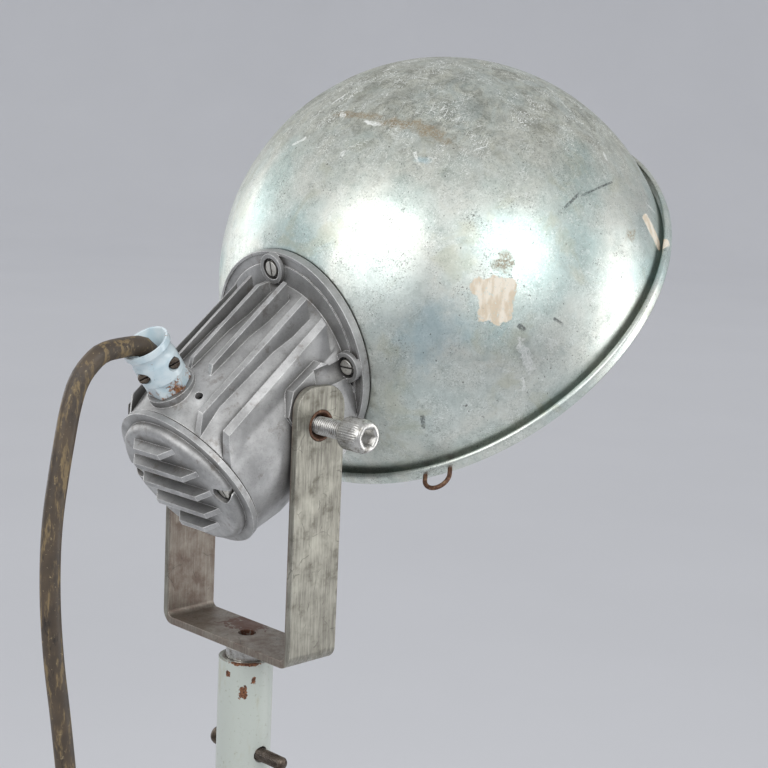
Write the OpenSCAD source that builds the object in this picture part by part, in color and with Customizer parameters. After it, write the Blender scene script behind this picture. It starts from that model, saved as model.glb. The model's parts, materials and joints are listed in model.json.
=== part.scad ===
// Floodlight head on a telescoping mast and a three-legged folding stand.
// Millimetres, +Z up. Origin: the floor under the mast axis. The light faces +X.

/* [Stand] */
// height of the leg hinge pins above the floor
hinge_height = 925; // [700:5:1100]
// distance of the hinge pins from the mast axis
hinge_radius = 62; // [54:1:80]
// angle of a spread leg from the vertical
leg_spread = 24; // [18:1:30]
// outer diameter of a leg tube
leg_od = 28; // [22:1:36]
// wall of a leg tube
leg_wall = 1.5; // [1:0.1:3]
// thickness of the tongue that hinges between the ears
tongue_t = 14; // [10:1:20]
// thickness of one hub ear
ear_t = 7; // [5:0.5:10]
// diameter of a hinge pin
hinge_pin_d = 10; // [8:1:14]
// outer diameter of a rubber foot
foot_od = 38; // [32:1:50]
// outer diameter of the hub sleeve
hub_od = 60; // [54:1:80]
// height of the hub sleeve
hub_h = 90; // [70:1:120]

/* [Mast] */
// outer diameter of the mast tube
mast_od = 36.6; // [30:0.1:45]
// wall of the mast tube
mast_wall = 2.6; // [2:0.1:4]
// length of the mast tube
mast_length = 602; // [500:1:800]
// height of the mast's top end above the hinge pins
mast_reach = 367; // [330:1:480]
// wall of the nylon liner in the hub
liner_wall = 2.5; // [2:0.1:5]
// diameter of the yoke's spigot
spigot_d = 27; // [22:0.5:30]
// how far the spigot stands out of the mast
spigot_gap = 11; // [6:0.5:20]
// how far the spigot reaches into the mast
spigot_reach = 100; // [70:1:140]
// distance of the spigot screws below the mast's top
spigot_screw_drop = 64; // [30:1:90]
// diameter of the spigot screws
spigot_screw_d = 9; // [6:0.5:12]
// diameter of the mast clamp screw
clamp_screw_d = 12; // [8:0.5:14]

/* [Yoke] */
// outer width of the yoke, across both arms
yoke_width = 128; // [124:1:160]
// width of the flat bar
bar_w = 40; // [30:1:50]
// thickness of the flat bar
bar_t = 5; // [4:0.5:8]
// height of the tilt axis above the bar's underside
pivot_rise = 157; // [130:1:190]
// height of the arm ends above the tilt axis
arm_over = 25; // [18:1:32]
// outer radius of the bends in the bar
bend_r = 9; // [7:0.5:14]
// diameter of the bush in each arm
bush_d = 20; // [16:0.5:24]
// diameter of the pivot screws
pivot_screw_d = 12; // [8:0.5:14]
// distance from the screw head's underside to the arm
screw_stand_off = 24; // [4:1:30]

/* [Housing] */
// angle of the housing axis above the horizontal
body_angle = 36; // [20:1:50]
// radius of the barrel
barrel_r = 57.5; // [52:0.5:60]
// wall of the barrel
barrel_wall = 3.5; // [2.5:0.5:6]
// distance from the tilt axis back to the rear seam
body_back = 62; // [55:1:80]
// radius over the fin tips
fin_r = 65.5; // [62:0.5:75]
// thickness of a cooling fin
fin_t = 3.2; // [2:0.1:5]
// distance from the tilt axis to the middle of the seat
seat_ahead = 49; // [45:1:65]
// offset of the seat's middle above the housing axis
seat_up = 9; // [0:0.5:15]
// how far the seat is turned down from square to the housing axis
seat_turn = 22; // [0:1:30]
// radius of the front flange
flange_r = 69; // [66:0.5:80]
// thickness of the front flange
flange_t = 6; // [4:0.5:10]
// radius of the lamp opening in the front flange
flange_hole_r = 44; // [40:1:46]
// how far that opening lies below the middle of the seat
flange_hole_drop = 5; // [0:0.5:8]
// radius of the flange screws' circle
flange_bolt_r = 58.6; // [56:0.1:62]
// diameter of the flange screws
flange_screw_d = 6; // [4:0.5:8]

/* [End cap] */
// radius of the end cap's flange
cap_r = 54.5; // [52:0.5:60]
// thickness of the end cap's flange
cap_flange_t = 4; // [3:0.5:6]
// depth of the end cap behind its flange
cap_depth = 7; // [5:0.5:15]
// how far the cooling slabs stand out of the end cap
slab_out = 7.5; // [4:0.5:12]
// thickness of a cooling slab
slab_t = 4; // [3:0.5:6]
// distance between cooling slabs
slab_pitch = 16; // [13:0.5:18]
// distance of the end cap screws from the housing axis
cap_screw_r = 42; // [40:0.5:44]
// diameter of the end cap screws
cap_screw_d = 5; // [4:0.5:6]

/* [Reflector] */
// outer radius of the spun bowl
bowl_r = 159.3; // [140:0.1:200]
// thickness of the bowl's sheet
bowl_wall = 1.5; // [1:0.1:2.5]
// distance from the bowl's centre to the rim plane
rim_ahead = 18.8; // [0:0.1:40]
// how far the rim gutter stands out of the bowl
gutter_out = 7; // [4:0.5:12]
// height of the gutter's turned-back lip
lip_h = 9; // [5:0.5:14]
// angle between the seat and the rim
rim_turn = 60; // [45:1:75]
// radius of the lamp opening in the bowl
lamp_hole_r = 49; // [46:1:52]
// wire diameter of the hanging loop on the rim
loop_wire_d = 3; // [2:0.1:4]
// angle around the rim of the hanging loop
loop_angle = 148; // [90:1:180]

/* [Lamp] */
// radius of the porcelain lampholder
holder_r = 27; // [25:0.5:30]
// length of the lampholder
holder_l = 50; // [40:1:60]
// radius of the lamp's screw cap
lamp_cap_r = 19.8; // [18:0.1:21]
// radius of the glass bulb
bulb_r = 42; // [30:1:48]
// distance from the tilt axis to the bulb's centre
bulb_ahead = 138; // [125:1:150]

/* [Gland and cord] */
// distance of the gland behind the tilt axis
gland_back = 43; // [38:0.5:45]
// width across the flats of the gland's hexagon
gland_flats = 25; // [22:0.5:28]
// radius of the gland's clamp body
gland_r = 14.5; // [13:0.5:16]
// length of the gland's two clamp halves
gland_l = 25; // [20:1:35]
// angle that the clamp halves are turned about the gland axis
gland_turn = 35; // [0:1:60]
// diameter of the rubber cord
cord_d = 12.5; // [9:0.1:14]
// mean radius of the coil's turns
coil_r = 67.5; // [60:0.5:75]
// turns beside each other in the coil
coil_columns = 2; // [1:1:3]
// turns on top of each other in the coil
coil_layers = 3; // [2:1:5]
// radius of the plug's body
plug_r = 20; // [18:0.5:24]

/* [Fits] */
// radial clearance of shafts, screws and sliding tubes
fit = 0.05; // [0.02:0.01:0.1]
// gap between parts that stand clear of each other
gap = 0.5; // [0.3:0.1:1]

/* [Hidden] */
$fn = 96;
fine = 48;
eps = 0.01;
reach = 400;

leg_turns = [0, 120, 240];
leg_length = hinge_height / cos(leg_spread);
ear_r = 15;
eye_r = 13.5;
tongue_l = 42;
collar_h = 10;
leg_plug_l = 60;
foot_l = 46;
foot_web = 16;
leg_rivet_d = 5;

hub_low = hinge_height - ear_r;
hub_top = hub_low + hub_h;
clamp_z = hub_top - 24;
clamp_boss_r = 13;
clamp_boss_out = 12;
clamp_knob_x = 30;
tommy_d = 7;
tommy_l = 62;

mast_top = hinge_height + mast_reach;
mast_low = mast_top - mast_length;
mast_r = mast_od / 2;
mast_ir = mast_r - mast_wall;
sleeve_l = 84;
spigot_r = spigot_d / 2;
spigot_screw_z = mast_top - spigot_screw_drop;

yoke_low = mast_top + spigot_gap;
pivot_z = yoke_low + pivot_rise;
arm_y = yoke_width / 2;
arm_in = arm_y - bar_t;
arm_corner_r = 15;
bush_r = bush_d / 2;
head_screw_r = 10.5;
head_screw_h = 19;

pad_y = arm_in - 2 * gap;
seat_dist = sqrt(bowl_r * bowl_r - flange_r * flange_r);
gasket_t = 1;
fin_places = [0, 17, -17, 34, -34, 49, -49];
fin_stop = flange_t + 8;
short_fin_back = 20;
boss_x = barrel_r + 1;
boss_from = 36;
boss_half = 16;
screw_head_h = 4;

bracket_z = -20;
bracket_t = 4;
bracket_screw_y = 41;
bracket_screw_d = 5;
holder_floor = 12;
holder_screw_x = 8;
holder_screw_y = 14;
shell_r = lamp_cap_r + 1.6;

cap_face = body_back + gasket_t + cap_flange_t + cap_depth;
cap_wall = 3;
slab_shift = 3;
slab_half = [12, 24, 26, 24, 12];
slab_corner = 7;

rim_wall_r = sqrt(bowl_r * bowl_r - rim_ahead * rim_ahead);
rim_r = rim_wall_r + gutter_out;
loop_r = 9;

gland_base_h = 10;
gland_bore_r = cord_d / 2 + 0.3;
gland_screw_x = 10.4;
gland_screw_d = 3.5;
gland_screw_up = 8;
gland_seat_y = 7;
gland_mouth_r = gland_r + 1;

cord_r = cord_d / 2;
cord_sides = 12;
coil_pitch = cord_d + 0.1;
coil_x = -235;
coil_out = coil_r + coil_columns * coil_pitch / 2;
coil_in = coil_r - coil_columns * coil_pitch / 2;
coil_h = (coil_layers - 1) * coil_pitch + cord_d;
plug_at = [-322, -112];
plug_l = 44;
relief_l = 40;

// the cord leaves the gland, bends over its mouth and stops short of the hanging stretch
neck_route = [
    [-72.4, 0, 1486.5], [-76.5, 0, 1492.2], [-80.6, 0, 1497.8], [-84.2, 0, 1502.3], [-88.8, 0, 1506.3],
    [-94.5, 0, 1509]
];

// the cores inside the housing, in its own frame, each at its own share of the terminals' spacing
core_route = [[62, 0.45, -43], [50, 0.45, -43], [34, 0.7, -41.5], [18, 1, -38], [8, 1, -34], [0.3, 1, -31.5]];

// the hanging stretch, down behind the mast, along the floor and up to the coil
drop_route = [
    [-118, 0, 1507.5], [-129.5, 0, 1501], [-138, 0, 1490.5], [-143.5, 0, 1475], [-147.5, 0, 1456],
    [-151.5, 0, 1434], [-155, 0, 1410], [-156.5, 0, 1385], [-156, 0, 1354], [-153, 0, 1320],
    [-148, 0, 1284], [-143, 0, 1244], [-138, 0, 1196], [-134, 0, 1140], [-132, 0, 1060], [-131, 0, 960],
    [-131, 0, 840], [-131, 0, 720], [-131, 0, 600], [-131, 0, 480], [-131, 0, 360], [-131, 1, 240],
    [-132, 4, 160], [-133, 12, 100], [-134, 26, 55], [-137, 45, 24], [-146, 62, 10], [-162, 71.5, 6.5],
    [-182, 74, 6.5], [-202, 74, 6.5]
];

// the free end, from the coil down to the plug
tail_route = [
    [-318, 10, 31.5], [-325, -5, 29.5], [-328.5, -20, 26], [-329, -34, 22.5], [-327, -47, 20.5],
    [-323.5, -59, 20], [-322, -70, 20], [-322, -84, 20], [-322, -100, 20]
];

// ---- frames and shapes ----

// the frame of the spread leg number i: +Z runs up the leg, the hinge pin lies along Y
module leg_frame(i) {
    rotate([0, 0, leg_turns[i]])
    translate([hinge_radius, 0, hinge_height])
    rotate([0, -leg_spread, 0])
    children();
}

// the frame of the housing: +Z forward along its axis, +X up, +Y to the near side, origin on the tilt axis
module body_frame() {
    translate([0, 0, pivot_z])
    rotate([0, 90 - body_angle, 0])
    rotate([0, 0, 180])
    children();
}

// the frame of the seat between housing and reflector: +Z forward, square to the seat
module seat_frame() {
    body_frame()
    translate([seat_up, 0, seat_ahead])
    rotate([0, -seat_turn, 0])
    children();
}

// the frame of the bowl: origin at its centre, +Z out through the rim
module bowl_frame() {
    seat_frame()
    translate([0, 0, gasket_t + seat_dist])
    rotate([0, -rim_turn, 0])
    children();
}

// a ring with square edges
module ring(r_out, r_in, h) {
    difference() {
        cylinder(r = r_out, h = h);
        translate([0, 0, -eps]) cylinder(r = r_in, h = h + 2 * eps);
    }
}

// a slotted cheese-head screw: head above z = 0, shank below
module cheese_screw(d, head_r, head_h, l) {
    difference() {
        cylinder(r = head_r, h = head_h, $fn = fine);
        translate([-head_r, -0.6, head_h * 0.55]) cube([2 * head_r, 1.2, head_h]);
    }
    translate([0, 0, -l]) cylinder(d = d, h = l + eps, $fn = fine);
}

// a hexagon, w across its flats
module hexagon(w, h) {
    cylinder(d = w / cos(30), h = h, $fn = 6);
}

// ---- the swept cord ----

function unit(v) = v / norm(v);
function tangent(p, i) = unit(p[min(i + 1, len(p) - 1)] - p[max(i - 1, 0)]);
function spline(a, b, c, d, u) = 0.5 * (2 * b + (c - a) * u + (2 * a - 5 * b + 4 * c - d) * u * u
    + (3 * b - a - 3 * c + d) * u * u * u);
function at(p, i) = p[max(0, min(len(p) - 1, i))];
function smooth_path(p, n) = concat(
    [for (i = [0:len(p) - 2]) for (k = [0:n - 1]) spline(at(p, i - 1), p[i], p[i + 1], at(p, i + 2), k / n)],
    [p[len(p) - 1]]
);
// a steady sideways direction: the part of Y that is square to the path, or of X where the path runs along Y
function across(t) = unit([0, 1, 0] - t * t.y + (abs(t.y) > 0.9 ? [0.5, 0, 0] - t * t.x * 0.5 : [0, 0, 0]));
function tube_ring(p, i, r, n) = let (t = tangent(p, i), a = across(t), b = cross(t, a))
    [for (k = [0:n - 1]) p[i] + r * (cos(360 * k / n) * a + sin(360 * k / n) * b)];

module swept_tube(path, r, n) {
    rings = len(path);
    points = [for (i = [0:rings - 1]) each tube_ring(path, i, r, n)];
    faces = concat(
        [[for (k = [0:n - 1]) n - 1 - k]],
        [for (i = [0:rings - 2]) for (k = [0:n - 1]) let (a = i * n + k, b = i * n + (k + 1) % n)
            each [[a, b, b + n], [a, b + n, a + n]]],
        [[for (k = [0:n - 1]) (rings - 1) * n + k]]
    );
    polyhedron(points = points, faces = faces, convexity = 4);
}

// ---- stand ----

module hub() {
    color("#8f9891")
    difference() {
        union() {
            translate([0, 0, hub_low]) cylinder(d = hub_od, h = hub_h);
            for (a = leg_turns) rotate([0, 0, a]) hub_ears();
            translate([-hub_od / 2 - clamp_boss_out, 0, clamp_z])
            rotate([0, 90, 0])
            cylinder(r = clamp_boss_r, h = hub_od / 2 + clamp_boss_out - mast_r, $fn = fine);
        }
        translate([0, 0, hub_low - 1]) cylinder(r = mast_r + liner_wall + 2 * fit, h = hub_h + 2);
        translate([-hub_od, 0, clamp_z])
        rotate([0, 90, 0])
        cylinder(d = clamp_screw_d + 2 * fit, h = hub_od, $fn = fine);
    }
}

// a pair of ears with the bore of the hinge pin through both
module hub_ears() {
    difference() {
        for (s = [-1, 1])
        translate([0, s * (tongue_t / 2 + gap + ear_t / 2), 0])
        rotate([90, 0, 0])
        translate([0, 0, -ear_t / 2])
        union() {
            translate([mast_r + 4, hub_low, 0]) cube([hinge_radius - mast_r - 4, 2 * ear_r, ear_t]);
            translate([hinge_radius, hub_low + ear_r, 0]) cylinder(r = ear_r, h = ear_t, $fn = fine);
            translate([mast_r + 4, hub_low + 2 * ear_r, 0]) cube([hub_od / 2 - mast_r + 8, 12, ear_t]);
        }
        translate([hinge_radius, 0, hinge_height])
        rotate([90, 0, 0])
        cylinder(d = hinge_pin_d + 2 * fit, h = 2 * hub_od, center = true, $fn = fine);
    }
}

module hub_liner() {
    color("#d8d4c4")
    difference() {
        translate([0, 0, hub_low - 1.5]) ring(mast_r + liner_wall + fit, mast_r + fit, hub_h + 1.5);
        translate([-hub_od, 0, clamp_z])
        rotate([0, 90, 0])
        cylinder(d = clamp_screw_d + 4 * fit, h = hub_od, $fn = fine);
    }
}

module hinge_bolts() {
    span = tongue_t + 2 * gap + 2 * ear_t;
    color("#9a9a96")
    for (a = leg_turns)
    rotate([0, 0, a])
    translate([hinge_radius, span / 2 + fit, hinge_height])
    rotate([-90, 0, 0])
    union() {
        hexagon(17, 6.4);
        translate([0, 0, -span - 14]) cylinder(d = hinge_pin_d, h = span + 14 + eps, $fn = fine);
    }
}

module hinge_nuts() {
    span = tongue_t + 2 * gap + 2 * ear_t;
    color("#8b8b88")
    for (a = leg_turns)
    rotate([0, 0, a])
    translate([hinge_radius, -span / 2 - fit, hinge_height])
    rotate([90, 0, 0])
    difference() {
        hexagon(17, 8);
        translate([0, 0, -1]) cylinder(d = hinge_pin_d + 2 * fit, h = 10, $fn = fine);
    }
}

module leg_fitting(i) {
    color("#a3aaa4")
    leg_frame(i)
    difference() {
        union() {
            rotate([90, 0, 0]) cylinder(r = eye_r, h = tongue_t, center = true, $fn = fine);
            translate([-eye_r, -tongue_t / 2, -tongue_l]) cube([2 * eye_r, tongue_t, tongue_l]);
            translate([0, 0, -tongue_l - collar_h]) cylinder(d = leg_od + 2, h = collar_h, $fn = fine);
            translate([0, 0, -tongue_l - collar_h - leg_plug_l])
            cylinder(r = leg_od / 2 - leg_wall - fit, h = leg_plug_l + eps, $fn = fine);
        }
        rotate([90, 0, 0]) cylinder(d = hinge_pin_d + 2 * fit, h = 2 * tongue_t, center = true, $fn = fine);
        leg_rivet_holes();
    }
}

// the cross holes of the two rivets in fitting and tube
module leg_rivet_holes() {
    for (k = [1, 2])
    translate([0, 0, -tongue_l - collar_h - k * leg_plug_l / 3])
    rotate([90, 0, 0])
    cylinder(d = leg_rivet_d + 2 * fit, h = 2 * leg_od, center = true, $fn = fine);
}

module leg_tube(i) {
    color("#aeb8b1")
    leg_frame(i)
    difference() {
        translate([0, 0, -leg_length + foot_web])
        ring(leg_od / 2, leg_od / 2 - leg_wall, leg_length - foot_web - tongue_l - collar_h, $fn = fine);
        leg_rivet_holes();
    }
}

module leg_rivets(i) {
    color("#8f8f8c")
    leg_frame(i)
    for (k = [1, 2])
    translate([0, 0, -tongue_l - collar_h - k * leg_plug_l / 3])
    rotate([90, 0, 0])
    union() {
        cylinder(d = leg_rivet_d, h = leg_od, center = true, $fn = fine);
        for (s = [-1, 1])
        scale([1, 1, s])
        translate([0, 0, leg_od / 2 + fit])
        cylinder(d = leg_rivet_d + 3, h = 1.4, $fn = fine);
    }
}

module leg_foot(i) {
    color("#2b2a29")
    difference() {
        leg_frame(i)
        difference() {
            translate([0, 0, -leg_length - foot_l / 2]) cylinder(d = foot_od, h = 1.5 * foot_l, $fn = fine);
            translate([0, 0, -leg_length + foot_web - fit])
            cylinder(d = leg_od + 2 * fit, h = foot_l, $fn = fine);
        }
        translate([-2 * leg_length, -2 * leg_length, -reach]) cube([4 * leg_length, 4 * leg_length, reach]);
    }
}

module leg_1_fitting() leg_fitting(0);
module leg_1_tube() leg_tube(0);
module leg_1_rivets() leg_rivets(0);
module leg_1_foot() leg_foot(0);
module leg_2_fitting() leg_fitting(1);
module leg_2_tube() leg_tube(1);
module leg_2_rivets() leg_rivets(1);
module leg_2_foot() leg_foot(1);
module leg_3_fitting() leg_fitting(2);
module leg_3_tube() leg_tube(2);
module leg_3_rivets() leg_rivets(2);
module leg_3_foot() leg_foot(2);

// ---- mast clamp ----

module clamp_screw() {
    knob_from = hub_od / 2 + clamp_boss_out + clamp_knob_x - 14;
    color("#8d8c88")
    translate([0, 0, clamp_z])
    rotate([0, -90, 0])
    difference() {
        union() {
            translate([0, 0, mast_r + gap])
            cylinder(d = clamp_screw_d, h = knob_from - mast_r - gap + eps, $fn = fine);
            translate([0, 0, knob_from]) cylinder(d = 20, h = 22, $fn = fine);
        }
        translate([0, 0, knob_from + 11])
        rotate([90, 0, 0])
        cylinder(d = tommy_d + 2 * fit, h = 40, center = true, $fn = fine);
    }
}

module tommy_bar() {
    color("#a5a4a0")
    tommy_place()
    cylinder(d = tommy_d, h = tommy_l, center = true, $fn = fine);
}

module tommy_caps() {
    color("#33312f")
    tommy_place()
    for (s = [-1, 1])
    scale([1, 1, s])
    translate([0, 0, tommy_l / 2 - 8])
    difference() {
        cylinder(d = 13, h = 11, $fn = fine);
        translate([0, 0, -1]) cylinder(d = tommy_d + 2 * fit, h = 9 + fit, $fn = fine);
    }
}

module tommy_place() {
    translate([-hub_od / 2 - clamp_boss_out - clamp_knob_x + 3, 0, clamp_z])
    rotate([90, 0, 0])
    children();
}

// ---- mast ----

module mast_tube() {
    color("#b6beb7")
    difference() {
        translate([0, 0, mast_low]) ring(mast_r, mast_ir, mast_length);
        spigot_screw_holes(2);
    }
}

// the cross holes of the two spigot screws, with some extra clearance
module spigot_screw_holes(extra) {
    translate([0, 0, spigot_screw_z])
    rotate([90, 0, 0])
    cylinder(d = spigot_screw_d + 2 * fit + extra, h = 2 * mast_od, center = true, $fn = fine);
}

module mast_plug() {
    color("#2f2f2e")
    union() {
        translate([0, 0, mast_low - 4]) cylinder(r = mast_r, h = 4 - fit);
        translate([0, 0, mast_low - fit - eps]) ring(mast_ir - fit, mast_ir - 3, 22);
    }
}

module spigot_sleeve() {
    color("#8a8f8c")
    difference() {
        translate([0, 0, mast_top - sleeve_l]) ring(mast_ir - fit, spigot_r + fit, sleeve_l);
        spigot_screw_holes(0);
    }
}

module spigot_screws() {
    tip = spigot_r + 2 * fit;
    head_from = mast_r + 4;
    color("#5e534a")
    translate([0, 0, spigot_screw_z])
    union() {
        rotate([-90, 0, 0])
        union() {
            translate([0, 0, tip]) cylinder(d = spigot_screw_d, h = head_from - tip + eps, $fn = fine);
            translate([0, 0, head_from]) cylinder(d = 13, h = 8, $fn = fine);
        }
        rotate([90, 0, 0])
        translate([0, 0, tip])
        cylinder(d = spigot_screw_d, h = mast_r + 22 - tip, $fn = fine);
    }
}

// ---- yoke ----

module yoke() {
    color("#a7a499")
    translate([0, 0, yoke_low])
    difference() {
        intersection() {
            rotate([90, 0, 90])
            linear_extrude(height = bar_w, center = true)
            difference() {
                bent_outline(arm_y, bend_r);
                translate([0, bar_t]) bent_outline(arm_in, bend_r - bar_t);
            }
            rotate([90, 0, 0]) linear_extrude(height = 2 * yoke_width, center = true) arm_outline();
        }
        translate([0, 0, pivot_rise])
        rotate([90, 0, 0])
        cylinder(r = bush_r + fit, h = 2 * yoke_width, center = true, $fn = fine);
        translate([0, 0, -1]) cylinder(d = 12, h = 2 * bar_t, $fn = fine);
    }
}

// the front view of the bar: half width w, two bottom corners of radius r, open at the top
module bent_outline(w, r) {
    translate([-w, r]) square([2 * w, reach]);
    translate([r - w, 0]) square([2 * (w - r), r + eps]);
    for (s = [-1, 1]) translate([s * (w - r), r]) circle(r = r);
}

// the side view of an arm: rounded end corners
module arm_outline() {
    arm_h = pivot_rise + arm_over;
    translate([-bar_w / 2, 0]) square([bar_w, arm_h - arm_corner_r]);
    translate([arm_corner_r - bar_w / 2, 0]) square([bar_w - 2 * arm_corner_r, arm_h]);
    for (s = [-1, 1])
    translate([s * (bar_w / 2 - arm_corner_r), arm_h - arm_corner_r])
    circle(r = arm_corner_r);
}

module spigot() {
    color("#c9c9c6")
    translate([0, 0, mast_top - spigot_reach])
    difference() {
        union() {
            translate([0, 0, 2]) cylinder(r = spigot_r, h = spigot_reach + spigot_gap - 2 - fit);
            cylinder(r1 = spigot_r - 2, r2 = spigot_r, h = 2);
        }
        translate([0, 0, spigot_reach + spigot_gap - 26]) cylinder(d = 11, h = 30, $fn = fine);
    }
}

module spigot_weld() {
    color("#8e8c87")
    translate([0, 0, yoke_low - fit])
    rotate_extrude()
    difference() {
        translate([spigot_r + 2 * fit, -4]) square([4, 4]);
        translate([spigot_r + 4 + 2 * fit, -4]) circle(r = 4, $fn = fine);
    }
}

module pivot_bushes() {
    color("#7c4a2b")
    translate([0, 0, pivot_z])
    for (s = [-1, 1])
    scale([1, s, 1])
    translate([0, arm_in - gap, 0])
    rotate([-90, 0, 0])
    difference() {
        cylinder(r = bush_r, h = bar_t + 2 * gap, $fn = fine);
        translate([0, 0, -1]) cylinder(d = pivot_screw_d + 2 * fit, h = bar_t + 4, $fn = fine);
        translate([0, 0, 2]) cylinder(r1 = pivot_screw_d / 2, r2 = bush_r - 1, h = bar_t, $fn = fine);
    }
}

// ---- housing ----

module housing() {
    color("#a9abac")
    difference() {
        union() {
            difference() {
                body_frame()
                union() {
                    barrel();
                    fins();
                    side_pads();
                    gland_boss();
                }
                seat_frame() in_front_of(0);
            }
            front_flange();
        }
        difference() {
            body_frame() barrel_bore();
            seat_frame() in_front_of(-flange_t);
        }
        seat_frame()
        translate([-flange_hole_drop, 0, -flange_t - 2])
        cylinder(r = flange_hole_r, h = flange_t + 4);
        seat_frame() flange_screw_cuts();
        body_frame() pivot_screw_holes();
        body_frame() gland_hole();
        body_frame() vent_hole();
        body_frame() bracket_screw_holes();
        body_frame()
        at_cap_screws()
        translate([0, 0, -body_back - 1])
        cylinder(d = cap_screw_d + 2 * fit, h = 16, $fn = fine);
    }
}

// everything in front of the plane at height z, in the frame of the seat
module in_front_of(z) {
    translate([-reach / 2, -reach / 2, z]) cube(reach);
}

module barrel() {
    rotate_extrude()
    polygon([
        [0, -body_back], [cap_r - 1, -body_back], [cap_r - 0.5, 3 - body_back], [barrel_r, 22 - body_back],
        [barrel_r, 12], [barrel_r - 2, 30], [barrel_r - 2, seat_ahead + 40], [0, seat_ahead + 40]
    ]);
}

module barrel_bore() {
    bore_r = barrel_r - barrel_wall;
    difference() {
        rotate_extrude()
        polygon([
            [0, -body_back - 1], [cap_r - barrel_wall - 1, -body_back - 1], [bore_r, 22 - body_back],
            [bore_r, 12], [bore_r - 2, 30], [bore_r - 2, seat_ahead + 40], [0, seat_ahead + 40]
        ]);
        for (s = [-1, 1])
        scale([1, s, 1])
        translate([-boss_half, boss_from, bracket_z])
        cube([2 * boss_half, barrel_r, 2 * boss_half + 8]);
        at_cap_screws() translate([-7, -7, -body_back]) cube([14, 30, 16]);
    }
}

// the places of the two end cap screws, each turned so that +Y points outwards
module at_cap_screws() {
    for (s = [-1, 1])
    rotate([0, 0, 90 - 90 * s])
    translate([s * slab_shift, cap_screw_r, 0])
    children();
}

// upright cooling fins: long ones at the sides, short ones between the gland and the flange
module fins() {
    difference() {
        for (y = fin_places)
        intersection() {
            translate([0, y - fin_t / 2, -body_back]) cube([fin_r + 5, fin_t, seat_ahead + body_back + 40]);
            fin_envelope(abs(y) < 30 ? -short_fin_back : 10 - body_back);
        }
        translate([seat_up, 0, seat_ahead]) rotate([0, -seat_turn, 0]) in_front_of(-fin_stop);
    }
}

// the turned shape that the fins fill, starting with a slope at z = from
module fin_envelope(from) {
    rotate_extrude()
    polygon([
        [0, from - 10], [barrel_r - 4, from - 10], [fin_r - 3.5, from], [fin_r, 50],
        [fin_r + 1, seat_ahead + 30], [0, seat_ahead + 30]
    ]);
}

// flat pads around the tilt axis, with chamfered corners
module side_pads() {
    for (s = [-1, 1])
    scale([1, s, 1])
    translate([0, pad_y, 0])
    rotate([90, 0, 0])
    linear_extrude(height = pad_y - 36)
    polygon([[-34, -6], [-34, 30], [-20, 40], [16, 36], [29, 26], [29, -2], [18, -14], [-24, -14]]);
}

module gland_boss() {
    translate([36, 0, -gland_back]) rotate([0, 90, 0]) cylinder(r = 16, h = boss_x - 36, $fn = fine);
}

module front_flange() {
    seat_frame()
    difference() {
        union() {
            translate([0, 0, -flange_t]) cylinder(r = flange_r, h = flange_t - eps);
            flange_bosses();
        }
        translate([0, 0, -flange_t - 1]) ring(flange_r - 2, barrel_r + 3.5, 2);
    }
}

// raised walls around the flange screws
module flange_bosses() {
    for (a = [0, 90, -90])
    rotate([0, 0, a])
    translate([flange_bolt_r, 0, -flange_t - 4])
    cylinder(r = 10, h = 6, $fn = fine);
}

// the pockets and clearance holes of the flange screws
module flange_screw_cuts() {
    for (a = [0, 90, -90])
    rotate([0, 0, a])
    translate([flange_bolt_r, 0, 0])
    union() {
        translate([0, 0, -flange_t - 30]) cylinder(r = 7.2, h = 31, $fn = fine);
        translate([0, 0, -flange_t - 1]) cylinder(d = flange_screw_d + 2 * fit, h = flange_t + 3, $fn = fine);
    }
}

module pivot_screw_holes() {
    for (s = [-1, 1])
    scale([1, s, 1])
    translate([0, 33, 0])
    rotate([-90, 0, 0])
    cylinder(d = pivot_screw_d + 2 * fit, h = 60, $fn = fine);
}

module gland_hole() {
    translate([30, 0, -gland_back]) rotate([0, 90, 0]) cylinder(r = 9 + fit, h = 40, $fn = fine);
}

module vent_hole() {
    translate([36, 22, 2 - gland_back]) rotate([0, 90, 0]) cylinder(d = 5, h = 40, $fn = fine);
}

// the threads of the two screws that hold the bracket
module bracket_screw_holes() {
    for (s = [-1, 1])
    translate([0, s * bracket_screw_y, bracket_z - 1])
    cylinder(d = bracket_screw_d + 2 * fit, h = 12, $fn = fine);
}

module pivot_screws() {
    color("#b9b8b4")
    translate([0, 0, pivot_z])
    for (s = [-1, 1])
    scale([1, s, 1])
    rotate([-90, 0, 0])
    difference() {
        union() {
            translate([0, 0, pad_y - 18])
            cylinder(d = pivot_screw_d, h = arm_y + screw_stand_off - pad_y + 18 + eps, $fn = fine);
            translate([0, 0, arm_y + screw_stand_off]) cylinder(r = head_screw_r, h = head_screw_h);
        }
        translate([0, 0, arm_y + screw_stand_off + head_screw_h - 11]) hexagon(10, 12);
    }
}

module end_cap() {
    face = -cap_face;
    seam = -body_back - gasket_t;
    color("#b4b5b4")
    body_frame()
    difference() {
        union() {
            translate([0, 0, seam - cap_flange_t]) cylinder(r = cap_r, h = cap_flange_t - fit);
            rotate_extrude()
            union() {
                translate([0, face + 5]) square([cap_r - 6.5, cap_depth]);
                translate([0, face]) square([cap_r - 11.5, 6]);
                translate([cap_r - 11.5, face + 5]) circle(r = 5);
            }
            cooling_slabs();
        }
        translate([0, 0, face + cap_wall])
        cylinder(r = cap_r - 10, h = cap_depth + cap_flange_t + 1);
        at_cap_screws() union() {
            translate([0, 0, face - 20]) cylinder(r = 6, h = 20 + cap_depth, $fn = fine);
            translate([0, 0, face]) cylinder(d = cap_screw_d + 2 * fit, h = 30, $fn = fine);
        }
    }
}

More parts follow.
